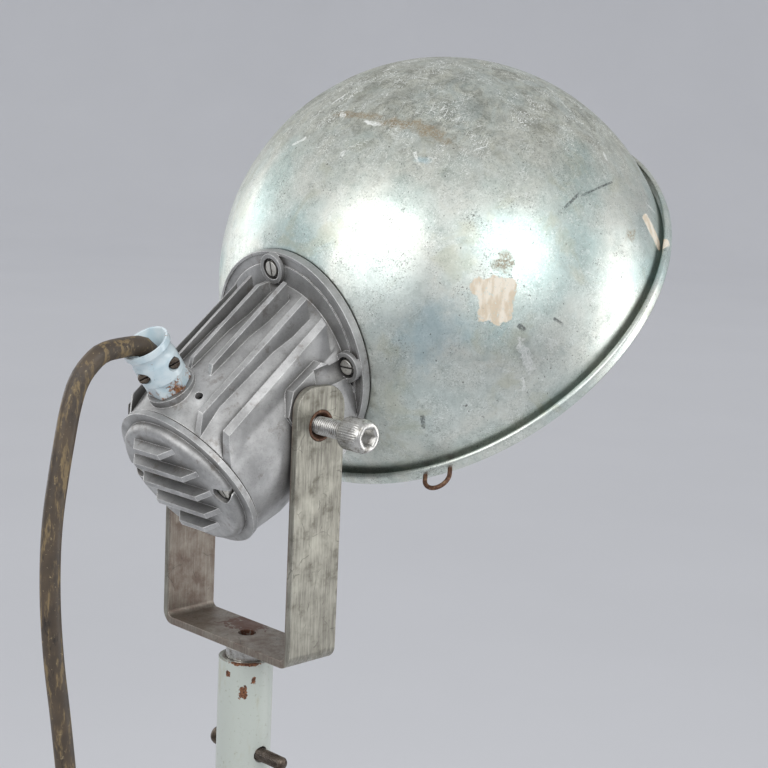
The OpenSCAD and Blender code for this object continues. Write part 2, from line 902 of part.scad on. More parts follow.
// flat slabs across the end cap, each with chamfered corners
module cooling_slabs() {
    for (k = [0:4])
    translate([slab_shift + (k - 2) * slab_pitch - slab_t / 2, 0, 0])
    rotate([0, 90, 0])
    linear_extrude(height = slab_t)
    polygon([
        [cap_face - 3, -slab_half[k] - slab_corner], [cap_face, -slab_half[k] - slab_corner],
        [cap_face + slab_out, -slab_half[k]], [cap_face + slab_out, slab_half[k]],
        [cap_face, slab_half[k] + slab_corner], [cap_face - 3, slab_half[k] + slab_corner]
    ]);
}

module cap_gasket() {
    color("#3a3836")
    body_frame()
    difference() {
        translate([0, 0, -body_back - gasket_t + fit]) ring(cap_r - 1, cap_r - 5, gasket_t - 2 * fit);
        at_cap_screws() translate([0, 0, -body_back - 4]) cylinder(d = cap_screw_d + 1, h = 8, $fn = fine);
    }
}

module cap_screws() {
    color("#b9b9b5")
    body_frame()
    at_cap_screws()
    translate([0, 0, -cap_face + cap_depth - fit])
    rotate([180, 0, 0])
    cheese_screw(cap_screw_d, 4.5, screw_head_h, 16);
}

module flange_gasket() {
    color("#3c3a37")
    seat_frame()
    difference() {
        translate([0, 0, fit]) ring(flange_r - 1, lamp_hole_r + 2, gasket_t - 2 * fit);
        for (a = [0, 90, -90])
        rotate([0, 0, a])
        translate([flange_bolt_r, 0, -1])
        cylinder(d = flange_screw_d + 1, h = 4, $fn = fine);
    }
}

module flange_screws() {
    color("#c3bda9")
    seat_frame()
    for (a = [0, 90, -90])
    rotate([0, 0, a])
    translate([flange_bolt_r, 0, -flange_t - fit])
    rotate([180, 0, 0])
    cheese_screw(flange_screw_d, 5, screw_head_h, flange_t + gasket_t + bowl_wall + 6);
}

module backing_ring() {
    color("#8d8f8e")
    seat_frame()
    translate([0, 0, gasket_t + bowl_wall + fit])
    difference() {
        ring(flange_r - 6, lamp_hole_r, 3);
        for (a = [0, 90, -90])
        rotate([0, 0, a])
        translate([flange_bolt_r, 0, -1])
        cylinder(d = flange_screw_d + 2 * fit, h = 8, $fn = fine);
    }
}

// ---- reflector ----

module reflector() {
    color("#bcc8c4")
    difference() {
        union() {
            difference() {
                bowl_frame() bowl_shell();
                seat_frame() in_front_of(gasket_t - reach);
            }
            seat_frame() translate([0, 0, gasket_t]) cylinder(r = flange_r - 0.3, h = bowl_wall);
        }
        seat_frame() translate([0, 0, gasket_t - 1]) cylinder(r = lamp_hole_r, h = bowl_wall + 20);
        seat_frame()
        for (a = [0, 90, -90])
        rotate([0, 0, a])
        translate([flange_bolt_r, 0, 0])
        cylinder(d = flange_screw_d + 2 * fit, h = 8, $fn = fine);
        bowl_frame() loop_holes();
    }
}

// the spun shell with its rim gutter, turned about the bowl's axis
module bowl_shell() {
    rotate_extrude($fn = 144)
    union() {
        intersection() {
            difference() {
                circle(r = bowl_r, $fn = 144);
                circle(r = bowl_r - bowl_wall, $fn = 144);
            }
            translate([0, -bowl_r - 1]) square([bowl_r + 1, bowl_r + 1 + rim_ahead - eps]);
        }
        translate([rim_wall_r - bowl_wall, rim_ahead - bowl_wall])
        square([gutter_out + bowl_wall, bowl_wall]);
        translate([rim_r - bowl_wall, rim_ahead - lip_h]) square([bowl_wall, lip_h]);
    }
}

// the two holes of the hanging loop through the gutter's lip
module loop_holes() {
    for (s = [-1, 1])
    rotate([0, 0, loop_angle])
    translate([rim_r - 6, s * loop_r, rim_ahead - lip_h / 2])
    rotate([0, 90, 0])
    cylinder(d = loop_wire_d + 2 * fit, h = 12, $fn = fine);
}

module rim_loop() {
    color("#8a5a3c")
    bowl_frame()
    rotate([0, 0, loop_angle])
    translate([rim_r, 0, rim_ahead - lip_h / 2])
    union() {
        translate([4 - eps, 0, 0])
        intersection() {
            rotate_extrude($fn = 64) translate([loop_r, 0]) circle(d = loop_wire_d, $fn = 24);
            translate([0, -2 * loop_r, -loop_r]) cube([2 * loop_r, 4 * loop_r, 2 * loop_r]);
        }
        for (s = [-1, 1])
        translate([-4.5, s * loop_r, 0])
        rotate([0, 90, 0])
        cylinder(d = loop_wire_d, h = 8.5, $fn = 24);
    }
}

// ---- lamp and wiring ----

module lampholder() {
    color("#e6e2d6")
    body_frame()
    translate([0, 0, bracket_z])
    difference() {
        cylinder(r = holder_r, h = holder_l);
        translate([0, 0, holder_floor]) cylinder(r = shell_r, h = holder_l);
        for (s = [-1, 1])
        translate([holder_screw_x, s * holder_screw_y, -1])
        cylinder(d = 4 + 2 * fit, h = holder_floor - 2, $fn = fine);
    }
}

module holder_shell() {
    color("#c8a24e")
    body_frame()
    translate([0, 0, bracket_z + holder_floor + fit])
    ring(shell_r - fit, lamp_cap_r + fit, holder_l - holder_floor - 8);
}

module holder_screws() {
    color("#b0aea8")
    body_frame()
    for (s = [-1, 1])
    translate([holder_screw_x, s * holder_screw_y, bracket_z - bracket_t - fit])
    rotate([180, 0, 0])
    cheese_screw(4, 3.5, 2.6, bracket_t + holder_floor - 5);
}

// the plate across the housing that carries the lampholder and the terminals
module bracket() {
    color("#9c9d9a")
    body_frame()
    difference() {
        translate([-boss_half, -46, bracket_z - bracket_t]) cube([2 * boss_half, 92, bracket_t - fit]);
        for (s = [-1, 1]) {
            translate([holder_screw_x, s * holder_screw_y, bracket_z - 2 * bracket_t])
            cylinder(d = 4 + 2 * fit, h = 3 * bracket_t, $fn = fine);
            translate([0, s * bracket_screw_y, bracket_z - 2 * bracket_t])
            cylinder(d = bracket_screw_d + 2 * fit, h = 3 * bracket_t, $fn = fine);
        }
    }
}

module bracket_screws() {
    color("#c8a24e")
    body_frame()
    for (s = [-1, 1])
    translate([0, s * bracket_screw_y, bracket_z - bracket_t - fit])
    rotate([180, 0, 0])
    cheese_screw(bracket_screw_d, 4.5, 3, bracket_t + 10);
}

module terminal_block() {
    color("#d9d6cb")
    body_frame()
    translate([-boss_half, -18, bracket_z - bracket_t - 14 - fit])
    difference() {
        cube([boss_half, 36, 14]);
        for (k = [0:2]) translate([boss_half - 6, 8 + 10 * k, -1]) cylinder(d = 5, h = 8, $fn = fine);
    }
}

// the three cores of the cord, from the gland to the terminals
module core_wires() {
    color("#4b6f8f")
    body_frame()
    for (y = [-8, 0, 8])
    swept_tube(smooth_path([for (p = core_route) [p.x, y * p.y, p.z]], 2), 1.6, 8);
}

module lamp_cap() {
    color("#c2c3c0")
    body_frame()
    translate([0, 0, -7])
    union() {
        cylinder(r1 = 8, r2 = lamp_cap_r - 3, h = 6);
        translate([0, 0, 6 - eps]) cylinder(r = lamp_cap_r, h = 34);
    }
}

module lamp_glass() {
    from = 33 + fit;
    color("#eef2f0", 0.5)
    body_frame()
    rotate_extrude()
    difference() {
        union() {
            translate([0, from]) square([17, bulb_ahead - from]);
            intersection() {
                translate([0, bulb_ahead]) circle(r = bulb_r);
                translate([0, from]) square([bulb_r, 3 * bulb_r + from]);
            }
        }
        translate([0, from - 1]) square([15.5, bulb_ahead - from]);
        intersection() {
            translate([0, bulb_ahead]) circle(r = bulb_r - 1.5);
            translate([0, from]) square([bulb_r, 3 * bulb_r + from]);
        }
    }
}

module lamp_burner() {
    color("#f2e9cf")
    body_frame()
    union() {
        translate([0, 0, 33 + fit]) cylinder(r = 6, h = 60, $fn = fine);
        translate([0, 0, 90]) cylinder(r = 9, h = 62, $fn = fine);
    }
}

// ---- gland ----

// the frame of the gland: +Z outwards from the boss, +X along the clamp's split
module gland_frame() {
    body_frame()
    translate([boss_x, 0, -gland_back])
    rotate([0, 90, 0])
    rotate([0, 0, -gland_turn])
    children();
}

module gland_base() {
    color("#c9d6da")
    gland_frame()
    difference() {
        union() {
            translate([0, 0, fit]) hexagon(gland_flats, gland_base_h);
            translate([0, 0, -10]) cylinder(r = 9, h = 11, $fn = fine);
        }
        translate([0, 0, -11]) cylinder(r = gland_bore_r, h = 30, $fn = fine);
        translate([0, 0, gland_base_h - 6]) cylinder(r = gland_bore_r + 2.5, h = 8, $fn = fine);
    }
}

module gland_seal() {
    color("#2d2b2a")
    gland_frame()
    translate([0, 0, gland_base_h - 6 + fit])
    ring(gland_bore_r + 2.5 - fit, gland_bore_r, 6 - fit, $fn = fine);
}

// one clamp half: the trumpet cut by the split, side = 1 or -1
module gland_half(side) {
    gland_frame()
    translate([0, 0, gland_base_h + 2 * fit])
    difference() {
        intersection() {
            gland_trumpet();
            translate([-reach / 2, side > 0 ? gap / 2 : -reach - gap / 2, -1]) cube([reach, reach, 100]);
        }
        for (s = [-1, 1])
        translate([s * gland_screw_x, 0, gland_screw_up])
        rotate([-90, 0, 0])
        union() {
            cylinder(d = gland_screw_d + 4 * fit, h = 60, center = true, $fn = fine);
            translate([0, 0, gland_seat_y]) cylinder(d = 8, h = 20, $fn = fine);
        }
    }
}

module gland_trumpet() {
    difference() {
        rotate_extrude()
        difference() {
            union() {
                square([gland_r, gland_l - 9]);
                translate([0, gland_l - 9 - eps]) square([gland_mouth_r, 9]);
            }
            translate([gland_r + 8, gland_l - 9]) circle(r = 8.6);
        }
        translate([0, 0, -1]) cylinder(r = gland_bore_r, h = gland_l + 2, $fn = fine);
        translate([0, 0, gland_l - 14]) cylinder(r1 = gland_bore_r, r2 = gland_mouth_r - 1.5, h = 14 + eps);
    }
}

module gland_half_right() color("#ccd9dc") gland_half(1);
module gland_half_left() color("#ccd9dc") gland_half(-1);

module gland_screws() {
    color("#5d5a55")
    gland_frame()
    for (s = [-1, 1])
    translate([s * gland_screw_x, gland_seat_y + fit, gland_base_h + 2 * fit + gland_screw_up])
    rotate([-90, 0, 0])
    cheese_screw(gland_screw_d, 3.6, 2.6, 2 * gland_seat_y);
}

// ---- cord ----

module cord_neck() {
    color("#5a4c3c")
    swept_tube(smooth_path(neck_route, 2), cord_r, cord_sides);
}

module cord_drop() {
    color("#5a4c3c")
    swept_tube(smooth_path(drop_route, 2), cord_r, cord_sides);
}

module cord_coil() {
    color("#5a4c3c")
    translate([coil_x, 0, 0]) ring(coil_out, coil_in, coil_h);
}

module cord_tail() {
    color("#5a4c3c")
    swept_tube(smooth_path(tail_route, 2), cord_r, cord_sides);
}

// the plug lies on its side on the floor, its pins pointing away from the coil
module plug_frame() {
    translate([plug_at.x, plug_at.y, plug_r])
    rotate([90, 0, 0])
    children();
}

module plug_body() {
    color("#262524")
    plug_frame()
    difference() {
        union() {
            cylinder(r = plug_r, h = plug_l - 8);
            translate([0, 0, plug_l - 8 - eps]) cylinder(r = plug_r - 2, h = 8);
        }
        translate([0, 0, -1]) cylinder(r = 10, h = 5);
        for (s = [-1, 1]) translate([s * 9.5, 0, plug_l - 20]) cylinder(d = 4.8 + 2 * fit, h = 30, $fn = 24);
    }
}

module plug_relief() {
    color("#2e2c2b")
    plug_frame()
    translate([0, 0, 4 - fit - relief_l])
    difference() {
        cylinder(r1 = cord_r + 1.5, r2 = 10 - fit, h = relief_l);
        translate([0, 0, -1]) cylinder(r = cord_r + 3 * fit, h = relief_l - 3);
    }
}

module plug_pins() {
    color("#b8b6ae")
    plug_frame()
    for (s = [-1, 1])
    translate([s * 9.5, 0, plug_l - 19])
    cylinder(d = 4.8, h = 38, $fn = 24);
}

hub();
hub_liner();
hinge_bolts();
hinge_nuts();
leg_1_fitting();
leg_1_tube();
leg_1_rivets();
leg_1_foot();
leg_2_fitting();
leg_2_tube();
leg_2_rivets();
leg_2_foot();
leg_3_fitting();
leg_3_tube();
leg_3_rivets();
leg_3_foot();
clamp_screw();
tommy_bar();
tommy_caps();
mast_tube();
mast_plug();
spigot_sleeve();
spigot_screws();
yoke();
spigot();
spigot_weld();
pivot_bushes();
housing();
pivot_screws();
reflector();
rim_loop();
flange_gasket();
flange_screws();
backing_ring();
end_cap();
cap_gasket();
cap_screws();
lampholder();
holder_shell();
holder_screws();
bracket();
bracket_screws();
terminal_block();
core_wires();
lamp_cap();
lamp_glass();
lamp_burner();
gland_base();
gland_seal();
gland_half_right();
gland_half_left();
gland_screws();
cord_neck();
cord_drop();
cord_coil();
cord_tail();
plug_body();
plug_relief();
plug_pins();
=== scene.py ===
import json
import math

import bmesh
import bpy
from mathutils import Matrix, Vector, noise

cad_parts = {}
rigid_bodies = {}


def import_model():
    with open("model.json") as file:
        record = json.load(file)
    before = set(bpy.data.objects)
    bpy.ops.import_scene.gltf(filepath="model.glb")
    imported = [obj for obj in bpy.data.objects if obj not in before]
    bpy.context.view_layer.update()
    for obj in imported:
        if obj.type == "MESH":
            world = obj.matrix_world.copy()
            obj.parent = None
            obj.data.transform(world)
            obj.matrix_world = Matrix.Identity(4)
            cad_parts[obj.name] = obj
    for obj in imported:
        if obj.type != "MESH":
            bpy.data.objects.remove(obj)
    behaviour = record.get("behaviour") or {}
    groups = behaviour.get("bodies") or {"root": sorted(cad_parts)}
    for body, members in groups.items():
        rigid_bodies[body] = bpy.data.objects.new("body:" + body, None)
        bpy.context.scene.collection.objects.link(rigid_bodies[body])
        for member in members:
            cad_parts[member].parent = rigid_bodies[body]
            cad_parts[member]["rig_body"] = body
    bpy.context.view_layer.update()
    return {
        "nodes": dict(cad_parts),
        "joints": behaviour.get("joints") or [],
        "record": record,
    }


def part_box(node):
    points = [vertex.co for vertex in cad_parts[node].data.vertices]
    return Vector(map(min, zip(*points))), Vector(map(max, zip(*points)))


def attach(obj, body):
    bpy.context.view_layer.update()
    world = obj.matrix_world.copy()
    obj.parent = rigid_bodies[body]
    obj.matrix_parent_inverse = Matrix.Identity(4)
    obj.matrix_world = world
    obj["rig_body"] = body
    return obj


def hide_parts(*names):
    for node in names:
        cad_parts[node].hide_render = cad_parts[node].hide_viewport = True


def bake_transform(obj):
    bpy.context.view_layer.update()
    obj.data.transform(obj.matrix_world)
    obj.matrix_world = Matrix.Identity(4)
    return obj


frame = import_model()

# The looks of a worn floodlight on a folding stand. Metres; +Z up, the light faces +X.
MM = 0.001
NODES = frame["nodes"]
JOINTS = {joint["name"]: joint for joint in frame["joints"]}
SLOTS = {part["node"]: part["material_slot"] for part in frame["record"]["subparts"]}
PIVOT = Vector(JOINTS["head_tilt"]["pos_m"])

# the head's driving sizes, as the frame has them, in metres
BOWL_R = 0.1593
BOWL_WALL = 0.0015
RIM_AHEAD = 0.0188
SEAT_R = 0.069
SEAT_DISTANCE = math.sqrt(BOWL_R ** 2 - SEAT_R ** 2)
SEAT_LIFT = 0.001
LAMP_HOLE_R = 0.049
BODY_ANGLE = math.radians(36)
SEAT_TURN = math.radians(22)
RIM_TURN = math.radians(60)


def turned(angle):
    """Turns about Y."""
    return Matrix.Rotation(angle, 4, "Y")


BODY_FRAME = (
    Matrix.Translation(PIVOT) @ turned(math.pi / 2 - BODY_ANGLE)
    @ Matrix.Rotation(math.pi, 4, "Z")
)
SEAT_FRAME = BODY_FRAME @ Matrix.Translation((0.009, 0, 0.049)) @ turned(-SEAT_TURN)
BOWL_FRAME = SEAT_FRAME @ Matrix.Translation((0, 0, SEAT_LIFT + SEAT_DISTANCE)) @ turned(-RIM_TURN)
GLAND_FRAME = (
    BODY_FRAME @ Matrix.Translation((0.0585, 0, -0.043)) @ turned(math.pi / 2)
    @ Matrix.Rotation(math.radians(-35), 4, "Z")
)


# ---- camera, light and floor ----

def toward(azimuth, elevation):
    """The direction of a place seen from the object: azimuth 0 is -Y and 90 is +X, in degrees."""
    a, e = math.radians(azimuth), math.radians(elevation)
    return Vector((math.sin(a) * math.cos(e), -math.cos(a) * math.cos(e), math.sin(e)))


def place_camera():
    """A long lens that looks at the head from behind and to its right, a little above it."""
    azimuth, elevation, roll = -45.3, 10.4, math.radians(2.6)
    distance, aside, above = 1.15, 0.0844, 0.0158
    back = toward(azimuth, elevation)
    right = Vector((math.cos(math.radians(azimuth)), math.sin(math.radians(azimuth)), 0))
    up = back.cross(right)
    x = right * math.cos(roll) + up * math.sin(roll)
    y = up * math.cos(roll) - right * math.sin(roll)
    eye = PIVOT + back * distance + x * aside + y * above
    data = bpy.data.cameras.new("camera")
    data.lens = 83
    data.sensor_width = 36
    camera = bpy.data.objects.new("camera", data)
    camera.matrix_world = Matrix((
        (x.x, y.x, back.x, eye.x),
        (x.y, y.y, back.y, eye.y),
        (x.z, y.z, back.z, eye.z),
        (0, 0, 0, 1),
    ))
    bpy.context.scene.collection.objects.link(camera)
    bpy.context.scene.camera = camera


def place_light(name, azimuth, elevation, distance, width, height, power):
    """A soft rectangle of white light that faces the lamp's head, from metres away and in watts."""
    data = bpy.data.lights.new(name, "AREA")
    data.shape = "RECTANGLE"
    data.size = width
    data.size_y = height
    data.energy = power
    light = bpy.data.objects.new(name, data)
    aim = PIVOT + Vector((0.1, 0, 0.05))
    light.location = aim + toward(azimuth, elevation) * distance
    light.rotation_euler = (aim - light.location).to_track_quat("-Z", "Y").to_euler()
    light.visible_camera = False
    bpy.context.scene.collection.objects.link(light)


def place_floor(material):
    """A pale studio floor that rises into a wall far away on every side."""
    flat, wall_r, wall_h, steps, sides = 14.0, 18.0, 7.0, 10, 64
    bend = wall_r - flat
    profile = [(0.0, 0.0), (flat, 0.0)]
    for k in range(1, steps + 1):
        a = math.pi / 2 * k / steps
        profile.append((flat + bend * math.sin(a), bend * (1 - math.cos(a))))
    profile.append((wall_r, wall_h))
    floor = lathe("floor", profile, Matrix.Identity(4), sides, closed=False)
    floor.data.materials.append(material)


def place_world():
    """Even pale light from all round, as white studio walls give."""
    world = bpy.data.worlds.new("studio")
    bpy.context.scene.world = world
    world.use_nodes = True
    fill(world.node_tree.nodes["Background"], {"Color": "#e2e3e6", "Strength": 0.9})


# ---- nodes and colours ----

def colour(code):
    """An sRGB hex colour as a linear one."""
    linear = []
    for i in (1, 3, 5):
        part = int(code[i:i + 2], 16) / 255
        linear.append(part / 12.92 if part <= 0.04045 else ((part + 0.055) / 1.055) ** 2.4)
    return (*linear, 1.0)


# What the numbered inputs are. Map Range: 0 the value, 1 and 2 where it comes from, 3 and 4 where
# it goes to. Mix: 0 the factor, 6 the colour where the factor is 0, 7 the colour where it is 1;
# its output 2 is the colour.

def fill(node, inputs):
    """Sets a node's inputs, each to a value, to an sRGB hex colour or by a link from a socket."""
    for key, value in inputs.items():
        if isinstance(value, bpy.types.NodeSocket):
            node.id_data.links.new(value, node.inputs[key])
        else:
            node.inputs[key].default_value = colour(value) if isinstance(value, str) else value


def add(tree, kind, inputs, out=0, stops=(), **settings):
    """Adds a node with its settings and inputs and gives its output; stops are a colour ramp's."""
    node = tree.nodes.new("ShaderNode" + kind)
    for key, value in settings.items():
        setattr(node, key, value)
    fill(node, inputs)
    for k, (position, code) in enumerate(stops):
        elements = node.color_ramp.elements
        stop = elements[k] if k < 2 else elements.new(position)
        stop.position = position
        stop.color = colour(code)
    return node.outputs[out]


def new_material(name):
    """A material, its tree, its shader and the place on the object."""
    material = bpy.data.materials.new(name)
    material.use_nodes = True
    tree = material.node_tree
    return material, tree, tree.nodes["Principled BSDF"], add(tree, "TexCoord", {}, "Object")


def noise_vector(tree, place, grain_mm, reach_mm):
    """A wandering offset of up to reach_mm, for lines that shouldn't run straight."""
    wander = add(tree, "TexNoise", {
        "Vector": place, "Scale": 1 / (grain_mm * MM), "Detail": 3.0,
    }, "Color")
    centred = add(tree, "VectorMath", {0: wander, 1: (0.5, 0.5, 0.5)}, operation="SUBTRACT")
    return add(tree, "VectorMath", {0: centred, "Scale": reach_mm * MM * 2}, operation="SCALE")


def edge_wear_and_highlight(tree, radius_mm, low=0.03, high=0.22):
    """1 along the piece's edges, 0 on its flats: the mask for worn edges and for painted edge
    highlights.
    """
    rounded = add(tree, "Bevel", {"Radius": radius_mm * MM}, samples=4)
    true = add(tree, "NewGeometry", {}, "Normal")
    same = add(tree, "VectorMath", {0: rounded, 1: true}, "Value", operation="DOT_PRODUCT")
    return add(tree, "MapRange", {
        0: add(tree, "Math", {0: 1.0, 1: same}, operation="SUBTRACT"),
        1: low, 2: high,
    }, interpolation_type="SMOOTHSTEP")


def crevice_shade_mask(tree, reach_mm, low, high):
    """1 deep in corners and grooves, 0 in the open: the mask for painted shade."""
    open_sky = add(tree, "AmbientOcclusion", {"Distance": reach_mm * MM}, "AO", samples=8)
    return add(tree, "MapRange", {0: open_sky, 1: high, 2: low}, interpolation_type="SMOOTHSTEP")


def spot(tree, place, point, normal, along, size_mm, grain_mm, ragged, soft=0.12):
    """1 inside a ragged mark at a point on the surface, given its half sizes along, across and
    through, the size of its ragged edge's grain, how ragged and how soft that edge is."""
    z = Vector(normal).normalized()
    x = (Vector(along) - z * Vector(along).dot(z)).normalized()
    turn = Matrix((x, z.cross(x), z)).transposed().to_euler()
    local = add(tree, "Mapping", {
        "Vector": place, "Location": tuple(point), "Rotation": tuple(turn),
        "Scale": [s * MM for s in size_mm],
    }, vector_type="TEXTURE")
    squared = add(tree, "VectorMath", {0: local, 1: local}, operation="MULTIPLY")
    away = add(tree, "Math", {
        0: add(tree, "VectorMath", {0: squared}, "Value", operation="LENGTH"),
    }, operation="SQRT")
    wander = add(tree, "Math", {
        0: add(tree, "TexNoise", {
            "Vector": place, "Scale": 1 / (grain_mm * MM), "Detail": 4.0, "Roughness": 0.6,
        }),
        1: 0.5,
    }, operation="SUBTRACT")
    away = add(tree, "Math", {
        0: away,
        1: add(tree, "Math", {0: wander, 1: ragged * 5}, operation="MULTIPLY"),
    }, operation="ADD")
    return add(tree, "MapRange", {
        0: away, 1: 1.0 + soft / 2, 2: 1.0 - soft / 2,
    }, interpolation_type="SMOOTHSTEP")


def streaks(tree, place, turns, length_mm, width_mm, low, high):
    """Fine straight scratches that run several ways: each turn is one direction, in radians about
    X, Y and Z."""
    found = 0.0
    for turn in turns:
        laid = add(tree, "Mapping", {"Vector": place, "Rotation": turn})
        lines = add(tree, "TexNoise", {
            "Vector": add(tree, "Mapping", {
                "Vector": laid, "Scale": (width_mm / length_mm, 1, 1),
            }),
            "Scale": 1 / (width_mm * MM), "Detail": 2.0, "Roughness": 0.5,
        })
        found = add(tree, "Math", {
            0: add(tree, "MapRange", {0: lines, 1: low, 2: high}, interpolation_type="SMOOTHSTEP"),
            1: found,
        }, operation="MAXIMUM")
    return found


# ---- materials ----

def spun_aluminium():
    """Spun aluminium sheet, clear-lacquered long ago: broad soft shine with a blue-green cast,
    faint rings from the spinning tool, a brown-grey darkening on top that is partly dust and partly
    a painted dark reflection, pits, scratches and daubs of wall paint."""
    material, tree, shader, place = new_material("spun_aluminium_outside")
    centre = BOWL_FRAME.translation
    turn = BOWL_FRAME.to_euler()
    in_bowl = add(tree, "Mapping", {
        "Vector": place, "Location": tuple(centre), "Rotation": tuple(turn),
    }, vector_type="TEXTURE")
    along_axis = add(tree, "SeparateXYZ", {"Vector": in_bowl}, "Z")
    height = add(tree, "SeparateXYZ", {"Vector": place}, "Z")

    cloudy = add(tree, "TexNoise", {
        "Vector": place, "Scale": 1 / (90 * MM), "Detail": 3.0, "Roughness": 0.55,
    })
    tint = add(tree, "ValToRGB", {
        "Fac": cloudy,
    }, stops=[(0.36, "#b7c8c4"), (0.5, "#d0d3cb"), (0.64, "#c4cdc8")])
    blotches = add(tree, "TexNoise", {
        "Vector": place, "Scale": 1 / (24 * MM), "Detail": 5.0, "Roughness": 0.65,
    })
    base = add(tree, "Mix", {
        0: add(tree, "MapRange", {
            0: blotches, 1: 0.5, 2: 0.75, 3: 0.0, 4: 0.5,
        }, interpolation_type="SMOOTHSTEP"),
        6: tint, 7: "#a3b3ae",
    }, 2, data_type="RGBA")

    # handling has left the whole skin finely flecked, dark and light
    flecks = add(tree, "TexNoise", {
        "Vector": place, "Scale": 1 / (1.5 * MM), "Detail": 4.0, "Roughness": 0.75,
    })
    fine = add(tree, "TexNoise", {
        "Vector": place, "Scale": 1 / (1.1 * MM), "Detail": 5.0, "Roughness": 0.8,
    })
    patchy = add(tree, "MapRange", {
        0: add(tree, "TexNoise", {
            "Vector": place, "Scale": 1 / (17 * MM), "Detail": 4.0, "Roughness": 0.65,
        }),
        1: 0.38, 2: 0.6, 3: 0.3, 4: 1.0,
    }, interpolation_type="SMOOTHSTEP")
    base = add(tree, "Mix", {
        0: add(tree, "Math", {
            0: add(tree, "MapRange", {
                0: fine, 1: 0.5, 2: 0.62, 3: 0.0, 4: 0.55,
            }, interpolation_type="SMOOTHSTEP"),
            1: patchy,
        }, operation="MULTIPLY"),
        6: base, 7: "#76817b",
    }, 2, data_type="RGBA")
    light = add(tree, "TexNoise", {
        "Vector": place, "Scale": 1 / (1.5 * MM), "Detail": 5.0, "Roughness": 0.8,
        "Distortion": 0.6,
    })
    base = add(tree, "Mix", {
        0: add(tree, "Math", {
            0: add(tree, "MapRange", {
                0: light, 1: 0.53, 2: 0.62, 3: 0.0, 4: 0.6,
            }, interpolation_type="SMOOTHSTEP"),
            1: patchy,
        }, operation="MULTIPLY"),
        6: base, 7: "#f2f5f2",
    }, 2, data_type="RGBA")

    mottled = add(tree, "TexNoise", {
        "Vector": place, "Scale": 1 / (6.5 * MM), "Detail": 5.0, "Roughness": 0.7,
        "Distortion": 0.5,
    })
    base = add(tree, "Mix", {
        0: add(tree, "MapRange", {
            0: mottled, 1: 0.5, 2: 0.68, 3: 0.0, 4: 0.3,
        }, interpolation_type="SMOOTHSTEP"),
        6: base, 7: "#8f9a94",
    }, 2, data_type="RGBA")
    base = add(tree, "Mix", {
        0: add(tree, "MapRange", {
            0: mottled, 1: 0.46, 2: 0.34, 3: 0.0, 4: 0.3,
        }, interpolation_type="SMOOTHSTEP"),
        6: base, 7: "#e4eae5",
    }, 2, data_type="RGBA")
    olive = add(tree, "MapRange", {
        0: add(tree, "TexNoise", {
            "Vector": place, "Scale": 1 / (33 * MM), "Detail": 4.0, "Roughness": 0.6,
            "Distortion": 0.7,
        }),
        1: 0.54, 2: 0.68, 3: 0.0, 4: 0.35,
    }, interpolation_type="SMOOTHSTEP")
    base = add(tree, "Mix", {0: olive, 6: base, 7: "#b5b59c"}, 2, data_type="RGBA")

    # dust lies where the bowl faces up and thins out towards its shoulder; the same darkening of
    # the top is also a painted dark reflection
    up = add(tree, "MapRange", {
        0: height, 1: centre.z + 0.045, 2: centre.z + 0.125,
    }, interpolation_type="SMOOTHSTEP")
    smear = add(tree, "TexNoise", {
        "Vector": place, "Scale": 1 / (26 * MM), "Detail": 6.0, "Roughness": 0.7, "Distortion": 1.2,
    })
    dust_and_dark_reflection = add(tree, "Math", {
        0: up,
        1: add(tree, "MapRange", {
            0: smear, 1: 0.36, 2: 0.6, 3: 0.45, 4: 1.0,
        }, interpolation_type="SMOOTHSTEP"),
    }, operation="MULTIPLY")
    tone = add(tree, "MapRange", {
        0: add(tree, "TexNoise", {
            "Vector": place, "Scale": 1 / (9.0 * MM), "Detail": 6.0, "Roughness": 0.75,
            "Distortion": 0.8,
        }),
        1: 0.38, 2: 0.62,
    }, interpolation_type="SMOOTHSTEP")
    dust_and_reflection_colour = add(tree, "Mix", {0: tone, 6: "#6e6e63", 7: "#a3a498"}, 2, data_type="RGBA")
    dust_and_reflection_colour = add(tree, "Mix", {
        0: add(tree, "MapRange", {0: fine, 1: 0.52, 2: 0.62}, interpolation_type="SMOOTHSTEP"),
        6: dust_and_reflection_colour, 7: "#575850",
    }, 2, data_type="RGBA")
    base = add(tree, "Mix", {
        0: add(tree, "Math", {0: dust_and_dark_reflection, 1: 0.85}, operation="MULTIPLY"),
        6: base, 7: dust_and_reflection_colour,
    }, 2, data_type="RGBA")

    scratches = streaks(
        tree,
        place,
        [(0, 0.3, 0.4), (0, -0.4, 1.3), (0, 0.2, 2.2), (0, 0.7, 2.9)],
        17,
        0.6,
        0.625,
        0.68,
    )
    held = add(tree, "Math", {
        0: add(tree, "Math", {0: up, 1: 0.95}, operation="MULTIPLY"),
        1: 0.18,
    }, operation="MAXIMUM")
    gathered = add(tree, "MapRange", {
        0: add(tree, "TexNoise", {
            "Vector": place, "Scale": 1 / (15 * MM), "Detail": 3.0, "Roughness": 0.55,
        }),
        1: 0.46, 2: 0.6, 3: 0.15, 4: 1.0,
    }, interpolation_type="SMOOTHSTEP")
    scratches = add(tree, "Math", {
        0: scratches,
        1: add(tree, "Math", {0: held, 1: gathered}, operation="MULTIPLY"),
    }, operation="MULTIPLY")
    base = add(tree, "Mix", {0: scratches, 6: base, 7: "#e9ece8"}, 2, data_type="RGBA")

